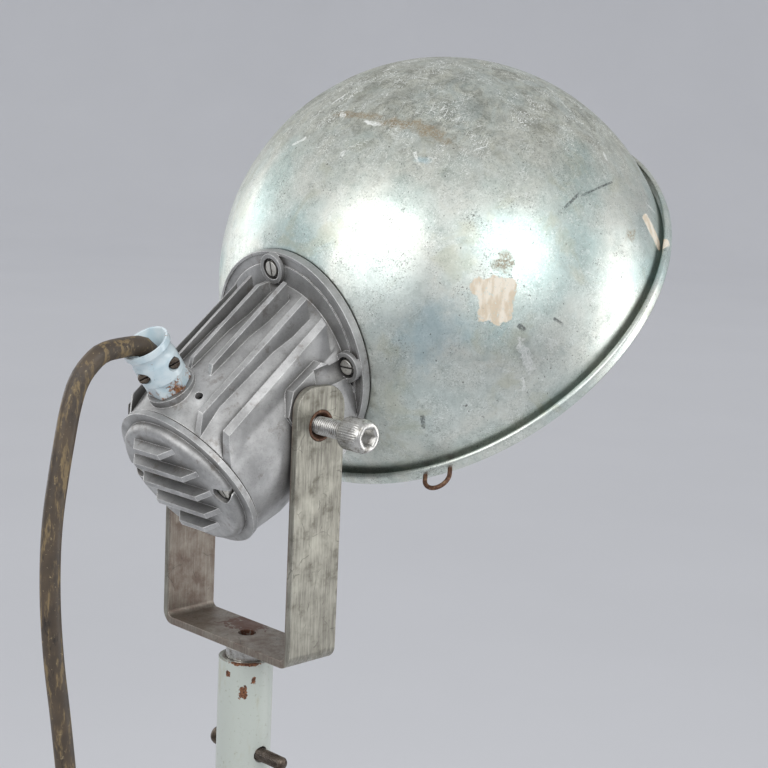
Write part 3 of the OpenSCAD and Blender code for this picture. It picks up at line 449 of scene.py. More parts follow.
    grains = {
        "paint": (14.0, 0.26, 0.08),
        "tan": (6.0, 0.6, 0.9),
        "white": (3.0, 0.8, 0.2),
        "dark": (5.0, 0.3, 0.5),
        "smudge": (6.0, 0.6, 1.1),
        "pits": (6.0, 0.5, 1.0),
        "blue": (9.0, 0.4, 1.3),
    }
    masks = dict.fromkeys(grains, 0.0)
    for kind, latitude, longitude, slant, along_mm, across_mm in BOWL_MARKS:
        point, normal, along = on_bowl(latitude, longitude, slant)
        mark = spot(tree, place, point, normal, along, (along_mm, across_mm, 9), *grains[kind])
        masks[kind] = add(tree, "Math", {0: mark, 1: masks[kind]}, operation="MAXIMUM")
    broken = add(tree, "MapRange", {
        0: flecks, 1: 0.42, 2: 0.56, 3: 0.35, 4: 1.0,
    }, interpolation_type="SMOOTHSTEP")
    base = add(tree, "Mix", {
        0: add(tree, "Math", {0: masks["blue"], 1: 0.4}, operation="MULTIPLY"),
        6: base, 7: "#9dbcc6",
    }, 2, data_type="RGBA")
    base = add(tree, "Mix", {
        0: add(tree, "Math", {
            0: masks["smudge"],
            1: add(tree, "Math", {0: broken, 1: 0.42}, operation="MULTIPLY"),
        }, operation="MULTIPLY"),
        6: base, 7: "#5a5d55",
    }, 2, data_type="RGBA")

    # pits gather in loose clusters
    pit = add(tree, "MapRange", {
        0: add(tree, "TexNoise", {
            "Vector": place, "Scale": 1 / (1.15 * MM), "Detail": 3.0, "Roughness": 0.8,
        }),
        1: 0.575, 2: 0.61,
    }, interpolation_type="SMOOTHSTEP")
    loose = add(tree, "MapRange", {
        0: add(tree, "TexNoise", {
            "Vector": place, "Scale": 1 / (26 * MM), "Detail": 3.0, "Roughness": 0.55,
        }),
        1: 0.54, 2: 0.66, 3: 0.0, 4: 0.8,
    }, interpolation_type="SMOOTHSTEP")
    pits = add(tree, "Math", {
        0: pit,
        1: add(tree, "Math", {0: loose, 1: masks["pits"]}, operation="MAXIMUM"),
    }, operation="MULTIPLY")
    lone = add(tree, "MapRange", {
        0: add(tree, "TexNoise", {
            "Vector": place, "Scale": 1 / (2.6 * MM), "Detail": 2.0, "Roughness": 0.6,
        }),
        1: 0.7, 2: 0.73,
    }, interpolation_type="SMOOTHSTEP")
    pits = add(tree, "Math", {
        0: pits,
        1: add(tree, "Math", {0: lone, 1: 0.8}, operation="MULTIPLY"),
    }, operation="MAXIMUM")
    base = add(tree, "Mix", {
        0: add(tree, "Math", {0: pits, 1: 0.8}, operation="MULTIPLY"),
        6: base, 7: "#413f38",
    }, 2, data_type="RGBA")

    daubs = add(tree, "Math", {
        0: masks["paint"],
        1: add(tree, "MapRange", {0: flecks, 1: 0.64, 2: 0.58}, interpolation_type="SMOOTHSTEP"),
    }, operation="MULTIPLY")
    brushed = add(tree, "TexNoise", {
        "Vector": add(tree, "Mapping", {"Vector": place, "Scale": (1, 1, 1 / 3)}),
        "Scale": 1 / (5.0 * MM), "Detail": 4.0, "Roughness": 0.55,
    })
    base = add(tree, "Mix", {
        0: daubs, 6: base,
        7: add(tree, "Mix", {
            0: add(tree, "MapRange", {0: brushed, 1: 0.4, 2: 0.6}, interpolation_type="SMOOTHSTEP"),
            6: "#cabca6", 7: "#ddd5c6",
        }, 2, data_type="RGBA"),
    }, 2, data_type="RGBA")
    rust = add(tree, "Math", {
        0: masks["tan"],
        1: add(tree, "MapRange", {
            0: flecks, 1: 0.4, 2: 0.58, 3: 0.15, 4: 0.7,
        }, interpolation_type="SMOOTHSTEP"),
    }, operation="MULTIPLY")
    base = add(tree, "Mix", {0: rust, 6: base, 7: "#86714f"}, 2, data_type="RGBA")
    base = add(tree, "Mix", {
        0: add(tree, "Math", {
            0: masks["white"],
            1: add(tree, "Math", {0: broken, 1: 0.8}, operation="MULTIPLY"),
        }, operation="MULTIPLY"),
        6: base, 7: "#eff1ed",
    }, 2, data_type="RGBA")
    base = add(tree, "Mix", {
        0: add(tree, "Math", {
            0: masks["dark"],
            1: add(tree, "Math", {0: broken, 1: 0.75}, operation="MULTIPLY"),
        }, operation="MULTIPLY"),
        6: base, 7: "#45494a",
    }, 2, data_type="RGBA")

    covered = add(tree, "Math", {
        0: add(tree, "Math", {0: dust_and_dark_reflection, 1: 0.7}, operation="MULTIPLY"),
        1: daubs,
    }, operation="MAXIMUM")
    covered = add(tree, "Math", {
        0: covered,
        1: add(tree, "Math", {0: rust, 1: 0.8}, operation="MULTIPLY"),
    }, operation="MAXIMUM")
    satin = add(tree, "MapRange", {
        0: add(tree, "TexNoise", {
            "Vector": place, "Scale": 1 / (40 * MM), "Detail": 4.0, "Roughness": 0.55,
        }),
        1: 0.3, 2: 0.7, 3: 0.37, 4: 0.47,
    }, interpolation_type="SMOOTHSTEP")
    rough = add(tree, "Math", {
        0: satin,
        1: add(tree, "Math", {0: covered, 1: 0.3}, operation="MULTIPLY"),
    }, operation="ADD")
    # the tool's rings are finer than a millimetre; drawn about 1.4 mm apart, so that they show
    rings = add(tree, "TexNoise", {
        "W": along_axis, "Scale": 0.7 / MM, "Detail": 3.0,
    }, noise_dimensions="1D")
    relief = add(tree, "Math", {
        0: add(tree, "Math", {
            0: rings,
            1: add(tree, "Math", {0: daubs, 1: 3.0}, operation="MULTIPLY"),
        }, operation="ADD"),
        1: add(tree, "Math", {
            0: add(tree, "Math", {0: pits, 1: scratches}, operation="MAXIMUM"),
            1: 1.5,
        }, operation="MULTIPLY"),
    }, operation="SUBTRACT")
    bumped = add(tree, "Bump", {"Height": relief, "Distance": 0.04 * MM, "Strength": 0.5})
    fill(shader, {
        "Base Color": base,
        "Metallic": add(tree, "MapRange", {
            0: covered, 1: 0.0, 2: 1.0, 3: 1.0, 4: 0.05,
        }, interpolation_type="SMOOTHSTEP"),
        "Roughness": rough, "Normal": bumped,
    })
    return material


def bright_aluminium():
    """The bowl's inside: bright spun aluminium, cleaner than the outside, with a thin grey haze."""
    material, tree, shader, place = new_material("bright_aluminium_inside")
    haze = add(tree, "TexNoise", {
        "Vector": place, "Scale": 1 / (45 * MM), "Detail": 5.0, "Roughness": 0.6,
    })
    specks = add(tree, "MapRange", {
        0: add(tree, "TexNoise", {
            "Vector": place, "Scale": 1 / (2.0 * MM), "Detail": 3.0, "Roughness": 0.7,
        }),
        1: 0.66, 2: 0.74,
    }, interpolation_type="SMOOTHSTEP")
    base = add(tree, "Mix", {
        0: add(tree, "MapRange", {0: haze, 1: 0.35, 2: 0.7}, interpolation_type="SMOOTHSTEP"),
        6: "#dcdfdc", 7: "#c3c8c4",
    }, 2, data_type="RGBA")
    base = add(tree, "Mix", {
        0: add(tree, "Math", {0: specks, 1: 0.5}, operation="MULTIPLY"),
        6: base, 7: "#77766c",
    }, 2, data_type="RGBA")
    bumped = add(tree, "Bump", {
        "Height": add(tree, "TexNoise", {
            "Vector": place, "Scale": 1 / (6.0 * MM), "Detail": 2.0, "Roughness": 0.55,
        }),
        "Distance": 0.05 * MM, "Strength": 0.5,
    })
    fill(shader, {
        "Base Color": base, "Metallic": 1.0,
        "Roughness": add(tree, "MapRange", {
            0: haze, 1: 0.3, 2: 0.7, 3: 0.2, 4: 0.34,
        }, interpolation_type="SMOOTHSTEP"),
        "Normal": bumped,
    })
    return material


def rolled_rim():
    """The gutter and its rolled edge: the same sheet, greener, with painted shade darkening and
    dulling its crevices and a painted highlight brightening its edges."""
    material, tree, shader, place = new_material("spun_aluminium_rim")
    film = add(tree, "TexNoise", {
        "Vector": place, "Scale": 1 / (18 * MM), "Detail": 5.0, "Roughness": 0.65,
    })
    base = add(tree, "Mix", {
        0: add(tree, "MapRange", {0: film, 1: 0.35, 2: 0.65}, interpolation_type="SMOOTHSTEP"),
        6: "#959a90", 7: "#6c7168",
    }, 2, data_type="RGBA")
    # painted shade: the gutter's crevices are darkened and dulled
    painted_crevice_shade = crevice_shade_mask(tree, 12.0, 0.35, 0.95)
    base = add(tree, "Mix", {
        0: add(tree, "Math", {0: painted_crevice_shade, 1: 0.95}, operation="MULTIPLY"),
        6: base, 7: "#33342c",
    }, 2, data_type="RGBA")
    # painted highlight along the rolled edge
    bright = edge_wear_and_highlight(tree, 0.8)
    base = add(tree, "Mix", {
        0: add(tree, "Math", {0: bright, 1: 0.7}, operation="MULTIPLY"),
        6: base, 7: "#e3e5e1",
    }, 2, data_type="RGBA")
    point, normal, along = on_bowl(3, 68, 0)
    daub = spot(tree, place, point, normal, along, (15, 14, 14), 3.0, 0.9)
    base = add(tree, "Mix", {
        0: add(tree, "Math", {0: daub, 1: 0.7}, operation="MULTIPLY"),
        6: base, 7: "#c4a988",
    }, 2, data_type="RGBA")
    bumped = add(tree, "Bump", {
        "Height": add(tree, "TexNoise", {
            "Vector": place, "Scale": 1 / (1.6 * MM), "Detail": 4.0, "Roughness": 0.7,
        }),
        "Distance": 0.05 * MM, "Strength": 0.5,
    })
    fill(shader, {
        "Base Color": base,
        "Metallic": add(tree, "MapRange", {
            0: painted_crevice_shade, 1: 0.0, 2: 1.0, 3: 1.0, 4: 0.4,
        }, interpolation_type="SMOOTHSTEP"),
        "Roughness": add(tree, "MapRange", {
            0: film, 1: 0.3, 2: 0.7, 3: 0.3, 4: 0.46,
        }, interpolation_type="SMOOTHSTEP"),
        "Normal": bumped,
    })
    return material


def dark_gutter():
    """The gutter behind the rim: near-black green over the aluminium, with bare metal in spots."""
    material, tree, shader, place = new_material("darkened_gutter")
    film = add(tree, "TexNoise", {
        "Vector": place, "Scale": 1 / (7.0 * MM), "Detail": 5.0, "Roughness": 0.7,
    })
    base = add(tree, "Mix", {
        0: add(tree, "MapRange", {0: film, 1: 0.38, 2: 0.62}, interpolation_type="SMOOTHSTEP"),
        6: "#22251f", 7: "#4a4f45",
    }, 2, data_type="RGBA")
    bare = add(tree, "MapRange", {
        0: add(tree, "TexNoise", {
            "Vector": place, "Scale": 1 / (3.0 * MM), "Detail": 4.0, "Roughness": 0.7,
        }),
        1: 0.6, 2: 0.68,
    }, interpolation_type="SMOOTHSTEP")
    base = add(tree, "Mix", {
        0: add(tree, "Math", {0: bare, 1: 0.5}, operation="MULTIPLY"),
        6: base, 7: "#8e958a",
    }, 2, data_type="RGBA")
    bumped = add(tree, "Bump", {"Height": film, "Distance": 0.08 * MM, "Strength": 0.5})
    fill(shader, {
        "Base Color": base,
        "Metallic": add(tree, "MapRange", {
            0: bare, 1: 0.0, 2: 1.0, 3: 0.2, 4: 0.9,
        }, interpolation_type="SMOOTHSTEP"),
        "Roughness": add(tree, "MapRange", {
            0: film, 1: 0.3, 2: 0.7, 3: 0.4, 4: 0.62,
        }, interpolation_type="SMOOTHSTEP"),
        "Normal": bumped,
    })
    return material


def cast_aluminium():
    """Raw sand-cast aluminium: matt light grey with a fine grain, brighter on worn edges and along
    them a painted highlight, with painted shade darkening its corners. The shader rounds its edges,
    as a sand mould leaves them."""
    material, tree, shader, place = new_material("sand_cast_aluminium")
    cloud = add(tree, "TexNoise", {
        "Vector": place, "Scale": 1 / (28 * MM), "Detail": 5.0, "Roughness": 0.6,
    })
    base = add(tree, "Mix", {
        0: add(tree, "MapRange", {0: cloud, 1: 0.32, 2: 0.68}, interpolation_type="SMOOTHSTEP"),
        6: "#c0c0bf", 7: "#9c9c9b",
    }, 2, data_type="RGBA")
    # moulding sand is about 0.3 mm; its grain is drawn at 1.1 mm, as coarse as it needs to show
    fine = add(tree, "TexNoise", {
        "Vector": place, "Scale": 1 / (1.1 * MM), "Detail": 4.0, "Roughness": 0.7,
    })
    base = add(tree, "Mix", {
        0: add(tree, "MapRange", {
            0: fine, 1: 0.5, 2: 0.75, 3: 0.0, 4: 0.5,
        }, interpolation_type="SMOOTHSTEP"),
        6: base, 7: "#7d7d7c",
    }, 2, data_type="RGBA")
    # painted shade: corners and the valleys between the fins are darkened in colour
    painted_crevice_shade = crevice_shade_mask(tree, 10.0, 0.35, 0.9)
    base = add(tree, "Mix", {
        0: add(tree, "Math", {0: painted_crevice_shade, 1: 0.85}, operation="MULTIPLY"),
        6: base, 7: "#4d4a47",
    }, 2, data_type="RGBA")
    # worn edges, made brighter as a painted highlight along each edge too
    worn = edge_wear_and_highlight(tree, 0.9, 0.01, 0.12)
    worn = add(tree, "Math", {
        0: worn,
        1: add(tree, "MapRange", {
            0: add(tree, "TexNoise", {
                "Vector": place, "Scale": 1 / (5.0 * MM), "Detail": 3.0, "Roughness": 0.55,
            }),
            1: 0.35, 2: 0.6, 3: 0.45, 4: 1.0,
        }, interpolation_type="SMOOTHSTEP"),
    }, operation="MULTIPLY")
    base = add(tree, "Mix", {
        0: add(tree, "Math", {0: worn, 1: 0.85}, operation="MULTIPLY"),
        6: base, 7: "#eeeeec",
    }, 2, data_type="RGBA")
    stain = add(tree, "MapRange", {
        0: add(tree, "TexNoise", {
            "Vector": place, "Scale": 1 / (13 * MM), "Detail": 5.0, "Roughness": 0.7,
        }),
        1: 0.56, 2: 0.68,
    }, interpolation_type="SMOOTHSTEP")
    base = add(tree, "Mix", {
        0: add(tree, "Math", {0: stain, 1: 0.45}, operation="MULTIPLY"),
        6: base, 7: "#6f655c",
    }, 2, data_type="RGBA")
    rounded = add(tree, "Bevel", {"Radius": 0.7 * MM}, samples=6)
    wavy = add(tree, "Bump", {
        "Height": add(tree, "TexNoise", {
            "Vector": place, "Scale": 1 / (11 * MM), "Detail": 2.0, "Roughness": 0.55,
        }),
        "Distance": 0.25 * MM, "Strength": 0.5, "Normal": rounded,
    })
    bumped = add(tree, "Bump", {
        "Height": fine, "Distance": 0.1 * MM, "Strength": 0.6, "Normal": wavy,
    })
    rough = add(tree, "Math", {
        0: add(tree, "MapRange", {
            0: cloud, 1: 0.3, 2: 0.7, 3: 0.46, 4: 0.6,
        }, interpolation_type="SMOOTHSTEP"),
        1: add(tree, "Math", {0: worn, 1: 0.14}, operation="MULTIPLY"),
    }, operation="SUBTRACT")
    fill(shader, {
        "Base Color": base,
        "Metallic": add(tree, "MapRange", {
            0: painted_crevice_shade, 1: 0.0, 2: 1.0, 3: 0.95, 4: 0.5,
        }, interpolation_type="SMOOTHSTEP"),
        "Roughness": rough, "Normal": bumped,
    })
    return material


def bar_steel():
    """Hot-rolled flat bar, wire-brushed along its length: dull warm grey with dark mottling, a
    brown film on the inside and bright nicked edges."""
    material, tree, shader, place = new_material("wire_brushed_bar_steel")
    strokes = add(tree, "TexNoise", {
        "Vector": add(tree, "Mapping", {"Vector": place, "Scale": (1, 1, 1 / 14)}),
        "Scale": 1 / (1.4 * MM), "Detail": 4.0, "Roughness": 0.7,
    })
    mottled = add(tree, "TexNoise", {
        "Vector": place, "Scale": 1 / (11 * MM), "Detail": 6.0, "Roughness": 0.72,
    })
    base = add(tree, "Mix", {
        0: add(tree, "MapRange", {0: strokes, 1: 0.3, 2: 0.7}, interpolation_type="SMOOTHSTEP"),
        6: "#9d9b90", 7: "#77746b",
    }, 2, data_type="RGBA")
    base = add(tree, "Mix", {
        0: add(tree, "MapRange", {
            0: mottled, 1: 0.5, 2: 0.68, 3: 0.0, 4: 0.7,
        }, interpolation_type="SMOOTHSTEP"),
        6: base, 7: "#615c51",
    }, 2, data_type="RGBA")
    pale = add(tree, "MapRange", {
        0: add(tree, "TexNoise", {
            "Vector": place, "Scale": 1 / (26 * MM), "Detail": 4.0, "Roughness": 0.55,
        }),
        1: 0.5, 2: 0.7, 3: 0.0, 4: 0.55,
    }, interpolation_type="SMOOTHSTEP")
    base = add(tree, "Mix", {0: pale, 6: base, 7: "#aeaca0"}, 2, data_type="RGBA")
    y = add(tree, "SeparateXYZ", {"Vector": place}, "Y")
    inside = add(tree, "MapRange", {
        0: add(tree, "Math", {0: y}, operation="ABSOLUTE"),
        1: 0.0606, 2: 0.0594,
    }, interpolation_type="SMOOTHSTEP")
    base = add(tree, "Mix", {
        0: add(tree, "Math", {
            0: inside,
            1: add(tree, "MapRange", {
                0: mottled, 1: 0.3, 2: 0.7, 3: 0.35, 4: 0.8,
            }, interpolation_type="SMOOTHSTEP"),
        }, operation="MULTIPLY"),
        6: base, 7: "#75645a",
    }, 2, data_type="RGBA")
    ring = spot(tree, place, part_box("spigot")[1], (0, 0, 1), (1, 0, 0), (14, 14, 12), 4.0, 0.6)
    base = add(tree, "Mix", {
        0: add(tree, "Math", {0: ring, 1: 0.85}, operation="MULTIPLY"),
        6: base, 7: "#5c3726",
    }, 2, data_type="RGBA")
    web = add(tree, "TexVoronoi", {
        "Vector": add(tree, "VectorMath", {0: place, 1: noise_vector(tree, place, 9.0, 3.0)}),
        "Scale": 1 / (19 * MM),
    }, "Distance", feature="DISTANCE_TO_EDGE")
    cracks = add(tree, "Math", {
        0: add(tree, "MapRange", {0: web, 1: 0.022, 2: 0.004}, interpolation_type="SMOOTHSTEP"),
        1: add(tree, "MapRange", {
            0: add(tree, "TexNoise", {
                "Vector": place, "Scale": 1 / (13 * MM), "Detail": 2.0, "Roughness": 0.55,
            }),
            1: 0.5, 2: 0.58,
        }, interpolation_type="SMOOTHSTEP"),
    }, operation="MULTIPLY")
    cracks = add(tree, "Math", {
        0: cracks,
        1: add(tree, "MapRange", {
            0: add(tree, "TexNoise", {
                "Vector": place, "Scale": 1 / (2.4 * MM), "Detail": 5.0, "Roughness": 0.8,
            }),
            1: 0.67, 2: 0.72,
        }, interpolation_type="SMOOTHSTEP"),
    }, operation="MAXIMUM")
    base = add(tree, "Mix", {
        0: add(tree, "Math", {0: cracks, 1: 0.5}, operation="MULTIPLY"),
        6: base, 7: "#45403a",
    }, 2, data_type="RGBA")
    worn = edge_wear_and_highlight(tree, 0.7)
    base = add(tree, "Mix", {
        0: add(tree, "Math", {0: worn, 1: 0.85}, operation="MULTIPLY"),
        6: base, 7: "#d9d7d0",
    }, 2, data_type="RGBA")
    bumped = add(tree, "Bump", {
        "Height": add(tree, "Math", {0: strokes, 1: mottled}, operation="ADD"),
        "Distance": 0.12 * MM, "Strength": 0.5,
    })
    fill(shader, {
        "Base Color": base,
        "Metallic": add(tree, "MapRange", {
            0: worn, 1: 0.0, 2: 1.0, 3: 0.7, 4: 1.0,
        }, interpolation_type="SMOOTHSTEP"),
        "Roughness": add(tree, "MapRange", {
            0: mottled, 1: 0.3, 2: 0.7, 3: 0.38, 4: 0.56,
        }, interpolation_type="SMOOTHSTEP"),
        "Normal": bumped,
    })
    return material


def chipped_paint(name, paint, stain, chip_places=()):
    """Brushed oil paint on steel: pale, softly glossy, with yellowed stains and chips down to
    rust."""
    material, tree, shader, place = new_material(name)
    drips = add(tree, "TexNoise", {
        "Vector": add(tree, "Mapping", {"Vector": place, "Scale": (1, 1, 1 / 4)}),
        "Scale": 1 / (9.0 * MM), "Detail": 5.0, "Roughness": 0.65,
    })
    base = add(tree, "Mix", {
        0: add(tree, "MapRange", {
            0: drips, 1: 0.55, 2: 0.75, 3: 0.0, 4: 0.7,
        }, interpolation_type="SMOOTHSTEP"),
        6: paint, 7: stain,
    }, 2, data_type="RGBA")
    grime = add(tree, "MapRange", {
        0: add(tree, "TexNoise", {
            "Vector": place, "Scale": 1 / (2.4 * MM), "Detail": 4.0, "Roughness": 0.75,
        }),
        1: 0.6, 2: 0.7, 3: 0.0, 4: 0.6,
    }, interpolation_type="SMOOTHSTEP")
    base = add(tree, "Mix", {0: grime, 6: base, 7: "#86826f"}, 2, data_type="RGBA")
    chips = add(tree, "MapRange", {
        0: add(tree, "TexNoise", {
            "Vector": place, "Scale": 1 / (5.0 * MM), "Detail": 4.0, "Roughness": 0.7,
        }),
        1: 0.705, 2: 0.725,
    }, interpolation_type="SMOOTHSTEP")
    for point, normal, size in chip_places:
        mark = spot(tree, place, point, normal, (0, 0, 1), size, 3.0, 0.5)
        chips = add(tree, "Math", {0: chips, 1: mark}, operation="MAXIMUM")
    worn = add(tree, "Math", {
        0: edge_wear_and_highlight(tree, 0.8),
        1: add(tree, "MapRange", {
            0: add(tree, "TexNoise", {
                "Vector": place, "Scale": 1 / (4.0 * MM), "Detail": 4.0, "Roughness": 0.55,
            }),
            1: 0.45, 2: 0.6,
        }, interpolation_type="SMOOTHSTEP"),
    }, operation="MULTIPLY")
    chips = add(tree, "Math", {0: chips, 1: worn}, operation="MAXIMUM")
    rust = add(tree, "Mix", {
        0: add(tree, "MapRange", {
            0: add(tree, "TexNoise", {
                "Vector": place, "Scale": 1 / (1.6 * MM), "Detail": 3.0, "Roughness": 0.55,
            }),
            1: 0.4, 2: 0.6,
        }, interpolation_type="SMOOTHSTEP"),
        6: "#4d2e20", 7: "#83573a",
    }, 2, data_type="RGBA")
    base = add(tree, "Mix", {0: chips, 6: base, 7: rust}, 2, data_type="RGBA")
    relief = add(tree, "Math", {
        0: add(tree, "Math", {0: drips, 1: 0.4}, operation="MULTIPLY"),
        1: chips,
    }, operation="SUBTRACT")
    bumped = add(tree, "Bump", {"Height": relief, "Distance": 0.12 * MM, "Strength": 0.6})
    fill(shader, {
        "Base Color": base, "Metallic": 0.0,
        "Roughness": add(tree, "MapRange", {
            0: chips, 1: 0.0, 2: 1.0, 3: 0.3, 4: 0.8,
        }, interpolation_type="SMOOTHSTEP"),
        "Specular IOR Level": 0.5, "Normal": bumped,
    })
    return material


def gland_enamel():
    """Stove enamel on the cord clamp: pale blue-white and glossy, rusted where it meets the
    housing."""
    material, tree, shader, place = new_material("stove_enamel")
    base_point = GLAND_FRAME @ Vector((0, 0, 0.001))
    axis = GLAND_FRAME.to_3x3() @ Vector((0, 0, 1))
    low = spot(tree, place, base_point, axis, (0, 0, 1), (26, 26, 6.5), 4.0, 0.9)
    patch = add(tree, "MapRange", {
        0: add(tree, "TexNoise", {
            "Vector": place, "Scale": 1 / (7.0 * MM), "Detail": 4.0, "Roughness": 0.7,
        }),
        1: 0.44, 2: 0.6,
    }, interpolation_type="SMOOTHSTEP")
    rust_mask = add(tree, "Math", {0: low, 1: patch}, operation="MULTIPLY")
    chips = add(tree, "MapRange", {
        0: add(tree, "TexNoise", {
            "Vector": place, "Scale": 1 / (3.0 * MM), "Detail": 4.0, "Roughness": 0.7,
        }),
        1: 0.68, 2: 0.7,
    }, interpolation_type="SMOOTHSTEP")
    rust_mask = add(tree, "Math", {0: rust_mask, 1: chips}, operation="MAXIMUM")
    # painted shade: the clamp's corners and grooves are darkened in colour
    painted_crevice_shade = crevice_shade_mask(tree, 3.0, 0.2, 0.6)
    worn = add(tree, "Math", {
        0: edge_wear_and_highlight(tree, 0.6),
        1: add(tree, "MapRange", {
            0: add(tree, "TexNoise", {
                "Vector": place, "Scale": 1 / (3.0 * MM), "Detail": 3.0, "Roughness": 0.55,
            }),
            1: 0.5, 2: 0.62,
        }, interpolation_type="SMOOTHSTEP"),
    }, operation="MULTIPLY")
    base = add(tree, "Mix", {
        0: add(tree, "MapRange", {
            0: add(tree, "TexNoise", {
                "Vector": place, "Scale": 1 / (12 * MM), "Detail": 4.0, "Roughness": 0.55,
            }),
            1: 0.4, 2: 0.7,
        }, interpolation_type="SMOOTHSTEP"),
        6: "#c9d5d9", 7: "#b2c6ce",
    }, 2, data_type="RGBA")
    base = add(tree, "Mix", {
        0: add(tree, "Math", {0: painted_crevice_shade, 1: 0.8}, operation="MULTIPLY"),
        6: base, 7: "#3a332d",
    }, 2, data_type="RGBA")
    base = add(tree, "Mix", {
        0: add(tree, "Math", {0: worn, 1: 0.7}, operation="MULTIPLY"),
        6: base, 7: "#77706a",
    }, 2, data_type="RGBA")
    rust = add(tree, "Mix", {
        0: add(tree, "MapRange", {
            0: add(tree, "TexNoise", {
                "Vector": place, "Scale": 1 / (1.4 * MM), "Detail": 3.0, "Roughness": 0.55,
            }),
            1: 0.4, 2: 0.6,
        }, interpolation_type="SMOOTHSTEP"),
        6: "#5d3a22", 7: "#91613a",
    }, 2, data_type="RGBA")
    base = add(tree, "Mix", {0: rust_mask, 6: base, 7: rust}, 2, data_type="RGBA")
    rounded = add(tree, "Bevel", {"Radius": 0.5 * MM}, samples=6)
    bumped = add(tree, "Bump", {
        "Height": add(tree, "Math", {
            0: add(tree, "TexNoise", {
                "Vector": place, "Scale": 1 / (3.0 * MM), "Detail": 3.0, "Roughness": 0.55,
            }),
            1: rust_mask,
        }, operation="SUBTRACT"),
        "Distance": 0.1 * MM, "Strength": 0.5, "Normal": rounded,
    })
    fill(shader, {
        "Base Color": base, "Metallic": 0.0,
        "Roughness": add(tree, "MapRange", {
            0: rust_mask, 1: 0.0, 2: 1.0, 3: 0.22, 4: 0.8,
        }, interpolation_type="SMOOTHSTEP"),
        "Coat Weight": 0.3, "Coat Roughness": 0.15, "Normal": bumped,
    })
    return material


def screw_steel(name, clean, dirty, dirt=0.6, rough=0.3):
    """Turned and plated steel: bright where tools and hands rub it, with painted shade darkening
    its grooves.
    """
    material, tree, shader, place = new_material(name)
    film = add(tree, "TexNoise", {
        "Vector": place, "Scale": 1 / (5.0 * MM), "Detail": 5.0, "Roughness": 0.7,
    })
    base = add(tree, "Mix", {
        0: add(tree, "MapRange", {
            0: film, 1: 0.62 - dirt * 0.3, 2: 0.78 - dirt * 0.2,
        }, interpolation_type="SMOOTHSTEP"),
        6: clean, 7: dirty,
    }, 2, data_type="RGBA")
    # painted shade in the grooves and threads
    painted_crevice_shade = crevice_shade_mask(tree, 1.4, 0.4, 0.92)
    base = add(tree, "Mix", {
        0: add(tree, "Math", {0: painted_crevice_shade, 1: 0.9}, operation="MULTIPLY"),
        6: base, 7: "#2b2520",
    }, 2, data_type="RGBA")
    worn = edge_wear_and_highlight(tree, 0.4)
    base = add(tree, "Mix", {
        0: add(tree, "Math", {0: worn, 1: 0.75}, operation="MULTIPLY"),
        6: base, 7: "#e4e3df",
    }, 2, data_type="RGBA")
    bumped = add(tree, "Bump", {
        "Height": add(tree, "TexNoise", {
            "Vector": place, "Scale": 1 / (0.9 * MM), "Detail": 3.0, "Roughness": 0.7,
        }),
        "Distance": 0.05 * MM, "Strength": 0.5,
    })
    fill(shader, {
        "Base Color": base, "Metallic": 0.9,
        "Roughness": add(tree, "MapRange", {
            0: film, 1: 0.3, 2: 0.7, 3: rough, 4: rough + 0.18,
        }, interpolation_type="SMOOTHSTEP"),
        "Normal": bumped,
    })
    return material


def rusted_steel():
    """Bare steel rusted brown: matt and crumbly, with a coppery sheen where it is rubbed."""
    material, tree, shader, place = new_material("rusted_steel")
    crust = add(tree, "TexNoise", {
        "Vector": place, "Scale": 1 / (2.4 * MM), "Detail": 5.0, "Roughness": 0.72,
    })
    tones = add(tree, "ValToRGB", {
        "Fac": crust,
    }, stops=[(0.3, "#35231a"), (0.52, "#5e4030"), (0.7, "#94795f")])
    worn = edge_wear_and_highlight(tree, 0.5)
    base = add(tree, "Mix", {
        0: add(tree, "Math", {0: worn, 1: 0.5}, operation="MULTIPLY"),
        6: tones, 7: "#c09a7c",
    }, 2, data_type="RGBA")
    bumped = add(tree, "Bump", {"Height": crust, "Distance": 0.15 * MM, "Strength": 0.7})
    fill(shader, {
        "Base Color": base,
        "Metallic": add(tree, "MapRange", {
            0: worn, 1: 0.0, 2: 1.0, 3: 0.45, 4: 0.9,
        }, interpolation_type="SMOOTHSTEP"),
        "Roughness": add(tree, "MapRange", {
            0: crust, 1: 0.3, 2: 0.7, 3: 0.42, 4: 0.66,
        }, interpolation_type="SMOOTHSTEP"),
        "Normal": bumped,
    })
    return material


